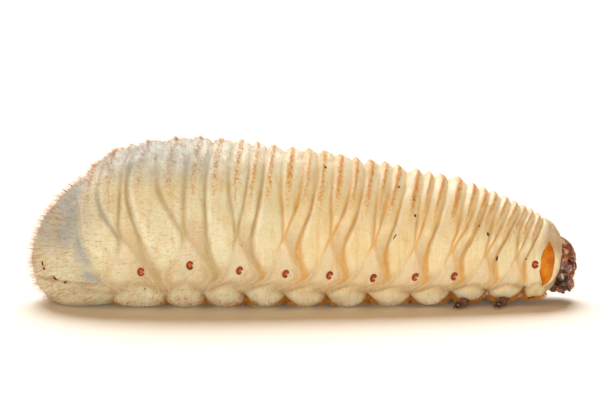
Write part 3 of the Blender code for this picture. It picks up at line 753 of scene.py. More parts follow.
def skin_finish(look):
    """Waxy skin: cream lobes, orange furrows, pale pinkish triangles, and the grey gut at the rear, with
    painted highlights beside the furrows, painted light on the back and foot lobes, and painted shade in the
    notches between the foot lobes.
    """
    finish, tree, shader = new_finish(
        "larva_skin", 0.42, Subsurface_Weight=0.3, Subsurface_Scale=0.0005,
        Subsurface_Radius=(1.0, 0.52, 0.25), IOR=1.42)
    clouds = remapped(tree, object_noise(tree, 420.0), 0.35, 0.68)
    colour = mixed(tree, clouds, look.cream, look.cream_deep)
    flecks = remapped(tree, object_noise(tree, 2100.0, 2.0), 0.55, 0.72, 0.0, 0.5)
    colour = mixed(tree, flecks, colour, FLECKS)
    # The pale tint is partly the skin's own pale colour and partly painted highlights and painted light:
    # streaks beside the furrows, a lighter back and lighter foot lobes.
    for field, amount, tint in (("forward", 0.42, look.front), ("glow", 0.75, look.glow),
                                ("field", 0.75, look.field), ("collar", 0.8, look.collar)):
        colour = tinted(tree, field, amount, colour, tint)
    dots = remapped(tree, object_noise(tree, 4200.0, 1.0), 0.47, 0.58)
    colour = mixed(tree, times(tree, times(tree, attribute(tree, "crest"), dots), 0.95), colour, look.furrow)
    streaks = remapped(tree, object_noise(tree, 2400.0, 3.0, 0.6, (1.0, 0.16, 0.16)), 0.52, 0.70)
    colour = mixed(tree, times(tree, streaks, 0.24), colour, look.furrow)
    worn = remapped(tree, object_noise(tree, 700.0), 0.2, 0.7, 0.6, 1.0)
    furrow = times(tree, attribute(tree, "furrow"), worn)
    line = mixed(tree, remapped(tree, attribute(tree, "forward"), 0.0, 0.3), look.furrow_rear, look.furrow)
    colour = mixed(tree, times(tree, furrow, 0.95), colour, line)
    mottle = remapped(tree, object_noise(tree, 300.0, 4.0), 0.3, 0.62, 0.45, 1.0)
    colour = mixed(tree, times(tree, attribute(tree, "gut"), mottle), colour, look.gut)
    tree.links.new(colour, shader.inputs["Base Color"])
    sheen = remapped(tree, attribute(tree, "field"), 0.0, 1.0, 1.0, 0.6)
    rough = times(tree, remapped(tree, object_noise(tree, 2600.0), 0.2, 0.8, 0.34, 0.52), sheen)
    tree.links.new(rough, shader.inputs["Roughness"])
    wrinkles = object_noise(tree, 2600.0, 4.0, 0.6, (1.0, 0.22, 0.22))
    add_bump(tree, shader, times(tree, wrinkles, object_noise(tree, 7000.0, 4.0, 0.6)), 0.0003, 0.8)
    return finish


def bristle_finish(look):
    """Fine red-brown bristles, paler towards the tip."""
    finish, tree, shader = new_finish("bristles", 0.45)
    colour = mixed(tree, attribute(tree, "tip"), look.bristle, look.bristle_tip)
    tree.links.new(colour, shader.inputs["Base Color"])
    return finish


def horn_finish(name, dark, light, scale, roughness=0.24, coat=0.25):
    """Glossy horn: two tones in soft patches, with fine pores."""
    finish, tree, shader = new_finish(name, roughness, IOR=1.54, Coat_Weight=coat, Coat_Roughness=0.2)
    shader.inputs["Specular IOR Level"].default_value = 0.2
    colour = mixed(tree, remapped(tree, object_noise(tree, scale, 4.0), 0.38, 0.64), dark, light)
    tree.links.new(colour, shader.inputs["Base Color"])
    add_bump(tree, shader, object_noise(tree, 9000.0), 0.00003, 0.5)
    return finish


def patched_finish(name, base, cloud, look):
    """Glossy horn with pale and dark patches from the piece's own fields."""
    finish, tree, shader = new_finish(name, 0.3, IOR=1.54, Coat_Weight=0.55, Coat_Roughness=0.15)
    colour = mixed(tree, remapped(tree, object_noise(tree, 900.0, 4.0), 0.42, 0.60), base, cloud)
    # The pale field holds pale patches and joints, and on the head also painted highlights.
    colour = tinted(tree, "pale", 0.85, colour, look.head_pale)
    colour = tinted(tree, "dark", 0.9, colour, look.jaw)
    tree.links.new(colour, shader.inputs["Base Color"])
    rough = remapped(tree, object_noise(tree, 4000.0), 0.3, 0.7, 0.2, 0.42)
    tree.links.new(rough, shader.inputs["Roughness"])
    add_bump(tree, shader, object_noise(tree, 9000.0), 0.00003, 0.6)
    return finish


# Settings

def colour_setting(name, default, words):
    """A colour property with its default and description."""
    return FloatVectorProperty(name=name, description=words, subtype="COLOR", size=3, min=0, max=1,
                               default=default)


class LARVA_PG_skin(PropertyGroup):
    """Colours of the skin"""
    cream: colour_setting("Cream", (0.83, 0.80, 0.59), "Lobes of the skin")
    cream_deep: colour_setting("Deep cream", (0.77, 0.70, 0.43), "Darker clouds in the lobes")
    front: colour_setting("Front", (0.94, 0.69, 0.33), "Tint of the front rings")
    # The pale tint: painted highlights in the streaks in front of each furrow, painted light on the back and
    # foot lobes, and the pale middle of the side triangles.
    glow: colour_setting("Glow", (0.94, 0.92, 0.76), "Pale streaks in front of each furrow")
    field: colour_setting("Side field", (0.63, 0.475, 0.28), "Triangles round the breathing holes")
    collar: colour_setting("Collar", (0.52, 0.36, 0.24), "Thin skin over the front of the first ring")
    # This colour also paints the shade in the notches between the foot lobes.
    furrow: colour_setting("Furrow", (0.74, 0.35, 0.01), "Lines between the folds")
    furrow_rear: colour_setting("Furrow, rear", (0.46, 0.32, 0.12), "Lines between the rear folds")
    gut: colour_setting("Gut", (0.32, 0.39, 0.44), "Gut that shows through at the rear")


class LARVA_PG_bristles(PropertyGroup):
    """Colours, size and seed of the bristles"""
    bristle: colour_setting("Bristle", (0.46, 0.17, 0.03), "Root colour of the bristles")
    bristle_tip: colour_setting("Bristle tip", (0.70, 0.34, 0.10), "Tip colour of the bristles")
    length: FloatProperty(name="Length", description="Length of the longer bristles", default=0.00055,
                          min=0.0001, max=0.002, unit="LENGTH")
    thickness: FloatProperty(name="Thickness", description="Thickness of a bristle at its root",
                             default=0.000019, min=0.00001, max=0.0001, unit="LENGTH")
    seed: IntProperty(name="Seed", description="Seed of the random places", default=11)


class LARVA_PG_horn(PropertyGroup):
    """Colours of the horny pieces"""
    plate: colour_setting("Side plate", (0.64, 0.24, 0.008), "Horny plates of the first ring")
    plate_dark: colour_setting("Side plate, dark", (0.48, 0.11, 0.0), "Darker middle of the plates")
    head: colour_setting("Head", (0.15, 0.034, 0.02), "Brown of the head")
    head_red: colour_setting("Head, red", (0.42, 0.12, 0.065), "Red-brown clouds of the head")
    # Also the colour of the painted highlights among the head's pale patches.
    head_pale: colour_setting("Head, pale", (0.62, 0.44, 0.30), "Tan patches of the head")
    jaw: colour_setting("Jaws", (0.02, 0.010, 0.008), "Black-brown of the jaws")
    leg: colour_setting("Legs", (0.05, 0.013, 0.006), "Legs, feelers and palps")
    limb_red: colour_setting("Feelers, red", (0.27, 0.07, 0.035), "Red-brown clouds of the feelers")
    leg_red: colour_setting("Legs, red", (0.17, 0.04, 0.015), "Red-brown clouds of the legs")


class LARVA_PG_stage(PropertyGroup):
    """Camera, floor and light"""
    lens: FloatProperty(name="Lens", description="Focal length in mm", default=165.0, min=20.0, max=300.0)
    elevation: FloatProperty(name="Elevation", description="Height of the camera over the horizon",
                             default=math.radians(8.0), subtype="ANGLE")
    floor: colour_setting("Floor", (0.95, 0.885, 0.80), "Colour of the floor")
    surround: colour_setting("Surround", (1.0, 0.56, 0.17), "Colour of the surrounding light")
    brightness: FloatProperty(name="Brightness", description="Strength of the surrounding light",
                              default=0.28, min=0.0, max=10.0)
    back_light: FloatProperty(name="Back light", description="Strength of the light from above and behind",
                              default=4.2, min=0.0, max=10.0)
    front_light: FloatProperty(name="Front light", description="Strength of the light beside the camera",
                               default=2.3, min=0.0, max=10.0)


# Operators

class LARVA_OT_skin(Operator):
    """Builds the soft skin of all twelve rings in one piece"""
    bl_idname = "larva.skin"
    bl_label = "Skin"

    def execute(self, context):
        grid = body_grid()
        points, faces = closed_tube(grid.points)
        names = ("furrow", "field", "gut", "crest", "glow")
        values = {name: grid.fields[..., n] for n, name in enumerate(names)}
        x = grid.points[..., 0]
        forward = ease(-6.0, 3.0, x) * (1 - 0.45 * ease(13.0, 20.0, x))
        forward = forward * (0.4 + 0.6 * ease(25.0, 60.0, grid.angle))
        values["forward"] = forward * (1 - 0.7 * ease(124.0, 134.0, grid.angle))
        values["crest"] = values["crest"] * (0.35 + 0.65 * ease(-15.0, -6.0, x))
        values["collar"] = grid.collar()
        tail_tip, neck_end = {"gut": 0.8}, {"forward": 1.0, "collar": 1.0}
        for name, value in values.items():
            ends = (tail_tip.get(name, 0.0), neck_end.get(name, 0.0))
            values[name] = np.concatenate([value.reshape(-1), ends])
        finish = skin_finish(context.scene.larva_skin)
        piece = make_piece("skin", points, outward(points, faces), finish, values)
        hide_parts(*RINGS)
        return {"FINISHED"}


# A bristle's three rings: how far along its length each stands, the first one in the skin, and how wide it
# is. The patch is the side of a bristle's square in the map.
BRISTLE_RINGS = np.array((-0.12, 0.38, 0.74))
BRISTLE_WIDTHS = (1.0, 0.9, 0.6)
BRISTLE_PATCH = 0.003

# Rows at the head's end of the grid that carry no bristle: the neck's and the last two of the first ring
BARE_ROWS = ROWS_IN_NECK + 2

# Coats of the body: number of bristles, shortest and longest as shares of the length setting, how far they
# lean to the rear, how far they stand up, and how stout they are
COATS = {
    "tail": (2600, (0.7, 1.4), 0.5, 0.8, 1.0),
    "rear": (5000, (0.35, 0.8), 0.75, 0.6, 1.0),
    "back": (12000, (0.10, 0.24), 0.7, 0.5, 1.4),
    "ridge": (900, (0.5, 1.1), 0.35, 0.95, 1.0),
    "foot": (5500, (0.45, 0.95), 0.1, 0.95, 1.5),
    "side": (5000, (0.15, 0.32), 0.7, 0.6, 1.0),
}


def bristle_mesh(roots, directions, bends, lengths, thickness, root_uv):
    """Bristles as three-sided tapering spikes: three rings and a tip, each at the root plus the length times
    the direction at its share of the way and the bend at the square of it. Gives points, faces, how far
    along each point is, and its place in the map."""
    count = len(roots)
    side = unit(np.cross(directions, bends + np.array((0.013, 0.021, 0.017))))
    other = np.cross(directions, side)
    turn = np.arange(3) * 2 * math.pi / 3
    rows = []
    for t, w in zip(BRISTLE_RINGS, BRISTLE_WIDTHS):
        middle = roots + (directions * t + bends * max(t, 0.0) ** 2) * lengths[:, None]
        for a in turn:
            rows.append(middle + (side * math.cos(a) + other * math.sin(a)) * thickness * 0.5 * w)
    rows.append(roots + (directions + bends) * lengths[:, None])
    points = np.stack(rows, axis=1).reshape(-1, 3)
    own = []
    for ring in (0, 3):
        for k in range(3):
            a, b = ring + k, ring + (k + 1) % 3
            own += [(a, b, b + 3), (a, b + 3, a + 3)]
    own += [(6, 7, 9), (7, 8, 9), (8, 6, 9), (0, 2, 1)]
    faces = (np.arange(count)[:, None, None] * 10 + np.array(own)[None]).reshape(-1, 3)
    part = np.repeat(np.maximum(BRISTLE_RINGS, 0.0), 3)
    tip = np.tile(np.concatenate([part, [1.0]]), count)
    offsets = np.stack([np.tile(np.array((0, 1, 0.5)), 3), part], axis=1)
    offsets = np.concatenate([offsets, [[0.5, 1.0]]]) * BRISTLE_PATCH
    uv = (root_uv[:, None] * (1 - BRISTLE_PATCH) + offsets[None]).reshape(-1, 2)
    return points, faces, tip, uv


def scattered(grid, rng, count, density):
    """Row and column numbers of random places on the skin, as many to the area as the density says: a random
    share of the running total of area times density picks each cell."""
    along = np.linalg.norm(np.gradient(grid.points, axis=0), axis=-1)
    around = np.linalg.norm(np.roll(grid.points, -1, axis=1) - grid.points, axis=-1)
    weight = (along * around * density)[:-BARE_ROWS]
    total = np.cumsum(weight.ravel())
    pick = np.searchsorted(total, rng.random(count) * total[-1])
    row, column = np.divmod(np.minimum(pick, weight.size - 1), COLUMNS)
    return row + rng.random(count), column + rng.random(count)


def grow(grid, look, rng, name, density, finish, count, lengths, lean, lift, stout):
    """A coat of bristles over a density field, as a piece. Each points along the skin's outward direction
    times lift, plus the way to the rear times lean, plus a random part, and bends to the rear. One that
    would end in the floor is laid flat."""
    row, column = scattered(grid, rng, count, density)
    length = look.length / MM * rng.uniform(*lengths, count)
    root = grid.sample(grid.points, row, column)
    normal = unit(grid.sample(grid.normals, row, column))
    aft = np.array((-1.0, 0.0, 0.0))
    direction = unit(normal * lift + aft * lean + rng.normal(0, 0.10, root.shape))
    bend = aft * 0.16 + rng.normal(0, 0.10, root.shape)
    low = root[:, 2] + (direction[:, 2] + bend[:, 2]) * length < 0.02
    direction[low, 2] = np.abs(direction[low, 2]) * 0.2
    bend[low, 2] = 0.05
    uv = np.stack([row / len(grid.points), column / COLUMNS], axis=1)
    thickness = look.thickness / MM * stout
    points, faces, tip, uv = bristle_mesh(root, direction, bend, length, thickness, np.clip(uv, 0.0, 1.0))
    make_piece(name, points, faces, finish, {"tip": tip}, uv)


def coat_densities(grid):
    """How densely each coat grows over the grid: which rings it has, as numbers from the tail, times how far
    up, how far forward, how high on its fold or how close to the foot lobe a place is."""
    x, z = grid.points[..., 0], grid.points[..., 2]
    ring, angle = grid.keys[:, :1] + 0 * x, grid.angle + 0 * x
    furrow, field, crest = (grid.fields[..., n] for n in (0, 1, 3))
    high = ease(0.25, 0.8, z)
    bare = high * (1 - furrow)
    back = np.isin(ring, range(1, 11)) * crest ** 1.2 * (0.05 + ease(-9.0, 1.0, x))
    side = np.isin(ring, range(4, 12)) * bare * (1 - 0.8 * field)
    return {
        "tail": (ring == 0) * high * (1 - 0.5 * furrow),
        "rear": np.isin(ring, (1, 2, 3)) * bare * (1 - 0.7 * field) * (1.4 - 0.3 * ring),
        "back": back * (1 + 1.2 * ease(0.0, 12.0, x)) * (0.12 + bell(angle, 32.0, 20.0)),
        "ridge": np.isin(ring, (1, 2, 3, 4)) * crest ** 3 * ease(70.0, 30.0, angle) * ease(2.0, -6.0, x),
        "foot": np.isin(ring, range(1, 12)) * bell(angle, 156.0, 9.0) * (1 - furrow) * high,
        "side": side * (1 - 0.7 * ease(0.0, 16.0, x)),
    }


class LARVA_OT_bristles(Operator):
    """Grows the bristles: a coat at the rear, rows on the back folds, fringes on the foot lobes, and a thin
    scatter over the rest"""
    bl_idname = "larva.bristles"
    bl_label = "Bristles"

    def execute(self, context):
        grid = body_grid()
        look = context.scene.larva_bristles
        rng = np.random.default_rng(look.seed)
        plain = bristle_finish(look)
        rusty = {
            "back": horn_finish("bristle_rust", *TONES["bristle_rust"], 2000.0, 0.6, 0.0),
            "foot": horn_finish("bristle_foot", *TONES["bristle_foot"], 2000.0, 0.6, 0.0),
        }
        for name, density in coat_densities(grid).items():
            grow(grid, look, rng, "bristles_" + name, density, rusty.get(name, plain), *COATS[name])
        return {"FINISHED"}


def plate_patch(side):
    """The horny side plate: a half-moon between its rear and front edge on the first ring, as a grid of
    levels up and sine steps across. It is lifted outwards by an eased dome and a little noise, and closed by
    a wall that runs into the skin."""
    v = np.linspace(0.0, 1.0, 61)[:, None]
    u = np.sin(np.linspace(-1.0, 1.0, 33) * math.pi / 2)[None, :]
    level = 0.5 - 0.5 * np.cos(v * math.pi)
    angle = PLATE_LEVELS[0] + (PLATE_LEVELS[-1] - PLATE_LEVELS[0]) * level + 0 * u
    rear, front = (smooth(angle, PLATE_LEVELS, line) for line in (PLATE_REAR, PLATE_FRONT))
    place = ring_patch("prothorax", (rear + front) / 2 + (front - rear) / 2 * u, angle)
    edge = np.minimum(1 - np.abs(u), 1 - np.abs(2 * level - 1))
    out = np.stack([0 * angle, np.sin(np.radians(angle)), np.cos(np.radians(angle))], axis=-1)
    top = place + out * (0.03 + 0.10 * ease(0.0, 0.3, edge) + 0.012 * noise(place, 0.5))[..., None]
    under = place - out * 0.35
    top[..., 1] *= side
    under[..., 1] *= side
    return closed_tube(np.concatenate([top, under[:, ::-1]], axis=1))


class LARVA_OT_plates(Operator):
    """Builds the two horny side plates of the first ring"""
    bl_idname = "larva.plates"
    bl_label = "Side plates"

    def execute(self, context):
        look = context.scene.larva_horn
        finish = horn_finish("side_plate", look.plate_dark, look.plate, 900.0, 0.5, 0.0)
        for side, word in ((1, "left"), (-1, "right")):
            points, faces = plate_patch(side)
            piece = make_piece("side_plate_" + word, points, outward(points, faces), finish)
            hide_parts("prothoracic_plate_" + word)
        return {"FINISHED"}


def breathing_hole(centre, out, wide, tall, lean, gap):
    """A horny ring, open at the front, and the low dome inside it, at this place on the skin. The ring is a
    tube along an ellipse that stops short of the front, and the dome shrinks in five steps to its top."""
    lean, gap = math.radians(lean), math.radians(gap)
    along = np.array((1.0, 0.0, 0.0))
    up = np.cross(out, along)
    up *= np.sign(up[2])
    along, up = along * math.cos(lean) - up * math.sin(lean), up * math.cos(lean) + along * math.sin(lean)
    turn = np.linspace(gap, 2 * math.pi - gap, 40)[:, None]
    loop = centre + out * 0.02 + along * wide * np.cos(turn) + up * tall * np.sin(turn)
    width = 0.105 * np.sqrt(np.clip(1 - np.linspace(-1, 1, 40) ** 8, 0.05, 1))
    lift, reach = (np.array(steps)[:, None, None] for steps in (DOME_HEIGHTS, DOME_REACHES))
    spin = np.linspace(0, 2 * math.pi, 20, endpoint=False)[None, :, None]
    dome = centre + out * lift + (along * wide * np.cos(spin) + up * tall * np.sin(spin)) * reach
    return tube(loop, width, width, 12), closed_tube(dome)


class LARVA_OT_spiracles(Operator):
    """Builds the breathing holes: a dark horny ring, open at the front, round a low orange dome"""
    bl_idname = "larva.spiracles"
    bl_label = "Breathing holes"

    def execute(self, context):
        skin_points = body_grid().points.reshape(-1, 3)
        holes = []
        for centre, out, ring in spiracle_places():
            away = skin_points - centre
            weight = bell(np.linalg.norm(away, axis=1), 0.0, 0.3)
            centre = centre + out * (weight * (away @ out)).sum() / weight.sum()
            holes.append(breathing_hole(centre, out, *SPIRACLES[ring][2:]))
        rings, domes = zip(*holes)
        dark = horn_finish("spiracle_ring", *TONES["spiracle_ring"], 3000.0, 0.45, 0.0)
        light = horn_finish("spiracle_dome", *TONES["spiracle_dome"], 3000.0, 0.45, 0.0)
        make_piece("spiracle_rings", *joined(rings), dark)
        make_piece("spiracle_domes", *joined(domes), light)
        return {"FINISHED"}


# Dark specks on the right side: station, angle round the body, half length, half width, lean in degrees
SPECKS = (
    (8.71, 36.0, 0.13, 0.11, 0), (10.1, 46.8, 0.10, 0.10, 0), (10.15, 59.4, 0.14, 0.12, 0),
    (16.71, 64.8, 0.20, 0.17, 20), (15.97, 57.6, 0.10, 0.09, 0), (2.15, 27.0, 0.15, 0.12, 0),
    (2.79, 45.0, 0.06, 0.06, 0), (17.52, 86.4, 0.26, 0.10, 5), (8.3, 77.4, 0.30, 0.06, 28),
    (20.19, 84.6, 0.10, 0.07, 15), (-5.31, 90.0, 0.06, 0.06, 0), (-13.98, 124.2, 0.07, 0.07, 0),
    (-23.3, 95.0, 0.26, 0.17, 12), (-23.2, 101.0, 0.15, 0.20, -20), (-22.1, 109.5, 0.32, 0.16, 8),
    (-21.95, 112.0, 0.16, 0.20, 0), (-21.2, 113.0, 0.13, 0.20, -40),
)


def speck(grid, x, angle, tall, wide, lean):
    """A small ragged ellipsoid on the right side, flat on the skin at the point nearest to its place."""
    off = np.hypot(grid.points[..., 0] - x, (grid.angle - angle) * 0.1)
    off = np.where(grid.points[..., 1] > 0, np.inf, off)
    row, column = np.unravel_index(off.argmin(), off.shape)
    centre, out = grid.points[row, column], grid.normals[row, column]
    slant = math.radians(lean)
    up = unit(np.cross(out, np.cross((math.sin(slant), 0.0, math.cos(slant)), out)))
    axes = np.stack([np.cross(up, out) * wide, out * 0.06, up * tall])
    points, faces = ellipsoid((0.0, 0.0, 0.0), (1.0, 1.0, 1.0), 10, 16)
    points = points * (1 + 0.18 * noise(points * 0.5 + x, 0.6))[:, None]
    return points @ axes + centre, faces


class LARVA_OT_specks(Operator):
    """Builds the small dark specks on the right side and the marks along the slit under the tail"""
    bl_idname = "larva.specks"
    bl_label = "Specks"

    def execute(self, context):
        grid = body_grid()
        finish = horn_finish("speck", *TONES["speck"], 6000.0, 0.6, 0.0)
        specks = joined([speck(grid, *place) for place in SPECKS])
        make_piece("specks", *specks, finish)
        return {"FINISHED"}


# Limbs of the left side: points in mm, the radius at each, joints as shares of the length, how deep the
# joints are pinched, and the rings and columns of the tube
ANTENNA = (
    ((24.3, 1.7, 4.2), (24.6, 1.95, 3.9), (24.7, 2.15, 3.3), (24.4, 2.35, 2.6), (24.15, 2.4, 1.9),
     (24.3, 2.3, 1.2)),
    (0.26, 0.25, 0.20, 0.19, 0.21, 0.15), (0.16, 0.40, 0.62, 0.82), 0.42, 90, 24,
)
MAXILLA = (
    ((22.3, 1.5, 2.5), (22.6, 1.6, 2.0), (23.05, 1.5, 1.6), (23.5, 1.2, 1.2)),
    (0.45, 0.45, 0.36, 0.16), (0.4, 0.7), 0.2, 50, 28,
)
PALP = (
    ((22.8, 1.75, 1.7), (23.1, 2.1, 1.5), (23.5, 2.25, 1.25), (23.85, 2.15, 1.05)),
    (0.22, 0.21, 0.18, 0.11), (0.25, 0.5, 0.75), 0.35, 60, 20,
)

# The legs' points, and what follows them in the same way for every leg
LEGS = {
    "front": ((21.2, 1.4, 1.9), (21.15, 1.9, 1.35), (21.0, 2.3, 1.1), (20.85, 2.6, 0.98), (20.7, 2.8, 0.85)),
    "middle": ((18.5, 1.8, 1.7), (18.4, 2.6, 0.95), (18.2, 3.4, 0.6), (17.9, 4.05, 0.5), (17.5, 4.5, 0.34)),
    "hind": ((15.0, 1.9, 1.5), (14.9, 2.9, 0.85), (14.65, 3.8, 0.58), (14.3, 4.5, 0.5), (13.85, 5.05, 0.36)),
}
LEG_SHAPE = ((0.50, 0.47, 0.42, 0.37, 0.26), (0.26, 0.48, 0.74), 0.30, 90, 30)

# The left jaw's points and radii, and its notches as place, depth and spread
MANDIBLE = (
    ((23.6, 1.6, 2.8), (23.75, 1.7, 2.2), (23.9, 1.5, 1.7), (24.0, 1.0, 1.3), (24.05, 0.5, 1.15)),
    (0.55, 0.55, 0.45, 0.32, 0.12),
)
JAW_RINGS, JAW_COLUMNS = 70, 32
NOTCHES = ((0.72, 0.18, 0.04), (0.86, 0.15, 0.03), (0.30, 0.10, 0.03))

# Seeds of the random bristles of the head and legs
HEAD_SEED = 5
LEG_SEED = 9

# Pale and dark patches of the head: place in mm, with the side as a distance from the middle, and size. Most
# pale patches are tan skin of the capsule; two are painted highlights, the glint at 24.5 mm beside the
# feeler and the broad pale zone at 23.75 mm on the top of the head.
HEAD_PALE_AND_HIGHLIGHTS = (
    (23.9, 1.75, 4.75, 0.36), (24.5, 1.5, 4.25, 0.22), (24.75, 0.9, 2.7, 0.50), (23.3, 1.3, 5.55, 0.28),
    (24.6, 0.4, 4.9, 0.35), (24.7, 1.15, 3.4, 0.30), (23.6, 2.15, 3.3, 0.16), (23.75, 0.85, 5.6, 0.45),
)
HEAD_DARK = (
    (24.15, 1.65, 4.5, 0.20), (23.6, 2.05, 4.1, 0.20), (23.6, 2.1, 2.9, 0.42), (23.2, 2.1, 4.9, 0.22),
    (24.7, 0.7, 2.15, 0.25), (24.5, 0.9, 4.9, 0.22), (24.45, 1.6, 3.6, 0.22),
)


def jointed(side, points, radii, joints, pinch, rings, columns):
    """A jointed limb: a tube along a smooth path, pinched at each joint by a bell, and a little swollen
    before it. Gives the tube and the middle of each of its rings."""
    path, radius = fine_path(on_side(points, side), radii, rings)
    s = np.linspace(0, 1, rings)
    for joint in joints:
        radius = radius * (1 - pinch * bell(s, joint, 0.028))
        radius = radius * (1 + 0.10 * bell(s, joint - 0.09, 0.05))
    ends = np.sqrt(np.clip(1 - ((s - 0.93) / 0.07).clip(0, 1) ** 2, 0.02, 1))
    return tube(path, radius * ends, None, columns), path


def shares(limb, middles):
    """How far along a closed tube each of its points is, from 0 to 1, its two end points last."""
    columns = len(limb[0]) // len(middles)
    return np.concatenate([np.repeat(np.linspace(0, 1, len(middles)), columns), [0.0, 1.0]])


def at_joints(share, joints, spread):
    """1 at each joint of a limb and 0 between them, as the largest of a bell for each."""
    return np.max([bell(share, joint, spread) for joint in joints], axis=0)


def on_side(points, side):
    """The points as they are for side 1, and mirrored to the right for side -1."""
    return np.asarray(points, float) * np.array((1, side, 1))


def ellipsoid(centre, radii, rows=40, columns=56, shape=None):
    """An ellipsoid: a unit ball with its poles at the sides, times the radii. The function shape may push
    its points in and out along the ball's directions."""
    v = np.linspace(0, math.pi, rows + 2)[1:-1][:, None]
    u = np.linspace(0, 2 * math.pi, columns, endpoint=False)[None, :]
    ball = np.stack(np.broadcast_arrays(np.sin(v) * np.cos(u), np.cos(v), np.sin(v) * np.sin(u)), axis=-1)
    points = np.asarray(centre) + ball * np.asarray(radii)
    if shape is not None:
        points = points + ball * shape(ball)[..., None]
    return closed_tube(points)


def patches(points, spots):
    """How much each point lies in one of the patches: its distance from the middle in sizes of the patch,
    plus noise for a ragged edge, eased from 1 inside to 0 outside."""
    folded = folded_over(points)
    ragged = 0.8 * noise(points * np.array((1.0, 1.0, 1.7)), 0.30)
    amount = np.zeros(len(points))
    for *middle, size in spots:
        near = np.linalg.norm(folded - np.array(middle), axis=1) / size
        amount = np.maximum(amount, ease(1.15, 0.55, near + ragged))
    return amount


def folded_over(points):
    """The points with their left half laid over the right one."""
    return np.abs(points * np.array((0, 1, 0))) + points * np.array((1, 0, 1))


def sutures(ball):
    """The lines of the head capsule, for points of a unit ball: one down the middle that forks over the face
    to the feelers, and one down each cheek. 1 on a line and 0 off it."""
    side = np.abs(ball[..., 1])
    fork = side - np.clip(0.42 - ball[..., 2], 0, 1) * 0.95
    face = bell(fork, 0.0, 0.035) * ease(-0.25, 0.15, ball[..., 0])
    cheek = bell(ball[..., 0] - 0.30 - 0.25 * ball[..., 2], 0.0, 0.04) * ease(0.62, 0.80, side)
    return np.maximum(face, cheek * ease(0.62, 0.3, ball[..., 2]))


def capsule_relief(ball):
    """Sutures sunk in, a dent and a raised socket at each feeler, full cheeks, and shallow wrinkles."""
    folded = folded_over(ball)
    socket = np.linalg.norm(folded - np.array((0.63, 0.74, 0.02)), axis=-1)
    cheek = np.linalg.norm(folded - np.array((0.25, 0.85, -0.45)), axis=-1)
    rough = 0.03 * noise(ball * 2.0, 0.35) + 0.014 * noise(ball * 2.0 + 5, 0.12)
    return (rough - 0.07 * sutures(ball) + 0.10 * bell(cheek, 0.0, 0.35) + 0.09 * bell(socket, 0.17, 0.06)
            - 0.10 * bell(socket, 0.0, 0.12))


def lip_relief(ball):
    """Three lobes along the front edge of a lip, a cosine across it, with soft wrinkles."""
    lobes = 0.06 * np.cos(ball[..., 1] * 3.0 * math.pi) * ease(0.2, -0.7, ball[..., 2])
    return lobes + 0.02 * noise(ball * 1.5, 0.3)


def sprout(rng, points, middles, count, length, lean=(0.0, 0.0, 0.0)):
    """Places for bristles on a surface: roots picked from its points, directions away from the middles."""
    pick = rng.integers(0, len(points), count)
    away = unit(points[pick] - np.broadcast_to(middles, points.shape)[pick])
    direction = unit(away + np.asarray(lean) + rng.normal(0, 0.25, away.shape))
    return points[pick], direction, length * rng.uniform(0.5, 1.2, count), pick / len(points)


def limb_sprout(rng, limb, middles, count, length, lean=(0.0, 0.0, 0.0)):
    """Places for bristles on a closed tube, directions away from the middles of its rings."""
    columns = len(limb[0]) // len(middles)
    return sprout(rng, limb[0][:-2], np.repeat(middles, columns, axis=0), count, length, lean)


def bristle_piece(name, sprouts, rng, look, finish, thinner=1.0):
    """One piece from several lots of bristle places, kept off the floor."""
    roots, directions, lengths, places = (np.concatenate(lot) for lot in zip(*sprouts))
    bends = rng.normal(0, 0.12, roots.shape) - np.array((0.0, 0.0, 0.08))
    uv = np.stack([places, rng.random(len(places))], axis=1)
    thickness = look.thickness / MM * thinner
    points, faces, tip, uv = bristle_mesh(roots, directions, bends, lengths, thickness, uv)
    points[:, 2] = np.maximum(points[:, 2], 0.01)
    make_piece(name, points, faces, finish, {"tip": tip}, uv)


def horn_piece(name, parts, finish, replaced, pale=0.0, dark=0.0):
    """A piece of the head or legs from closed parts, in place of a node, with its pale and dark fields."""
    points, faces = joined(parts)
    none = np.zeros(len(points))
    piece = make_piece(name, points, faces, finish, {"pale": none + pale, "dark": none + dark})
    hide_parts(replaced)


def jaw_blade(side):
    """A jaw: a flattened tube along its curve, with notches that are bells taken off its radius."""
    path, radius = fine_path(on_side(MANDIBLE[0], side), MANDIBLE[1], JAW_RINGS)
    s = np.linspace(0, 1, JAW_RINGS)
    radius = radius * (1 - sum(depth * bell(s, place, spread) for place, depth, spread in NOTCHES))
    return tube(path, radius, radius * 0.85, JAW_COLUMNS), path


def claw_tube(end, reach):
    """A claw at the end of a leg: a thin tube that reaches on along the leg, hooks down and stays above the
    floor."""
    hook = end + reach * 0.34 - np.array((0.0, 0.0, 0.13))
    path, radius = fine_path([end - reach * 0.1, end + reach * 0.22, hook], (0.13, 0.09, 0.02), 16)
    path[:, 2] = np.maximum(path[:, 2], radius + 0.01)
    return tube(path, radius, None, 12)


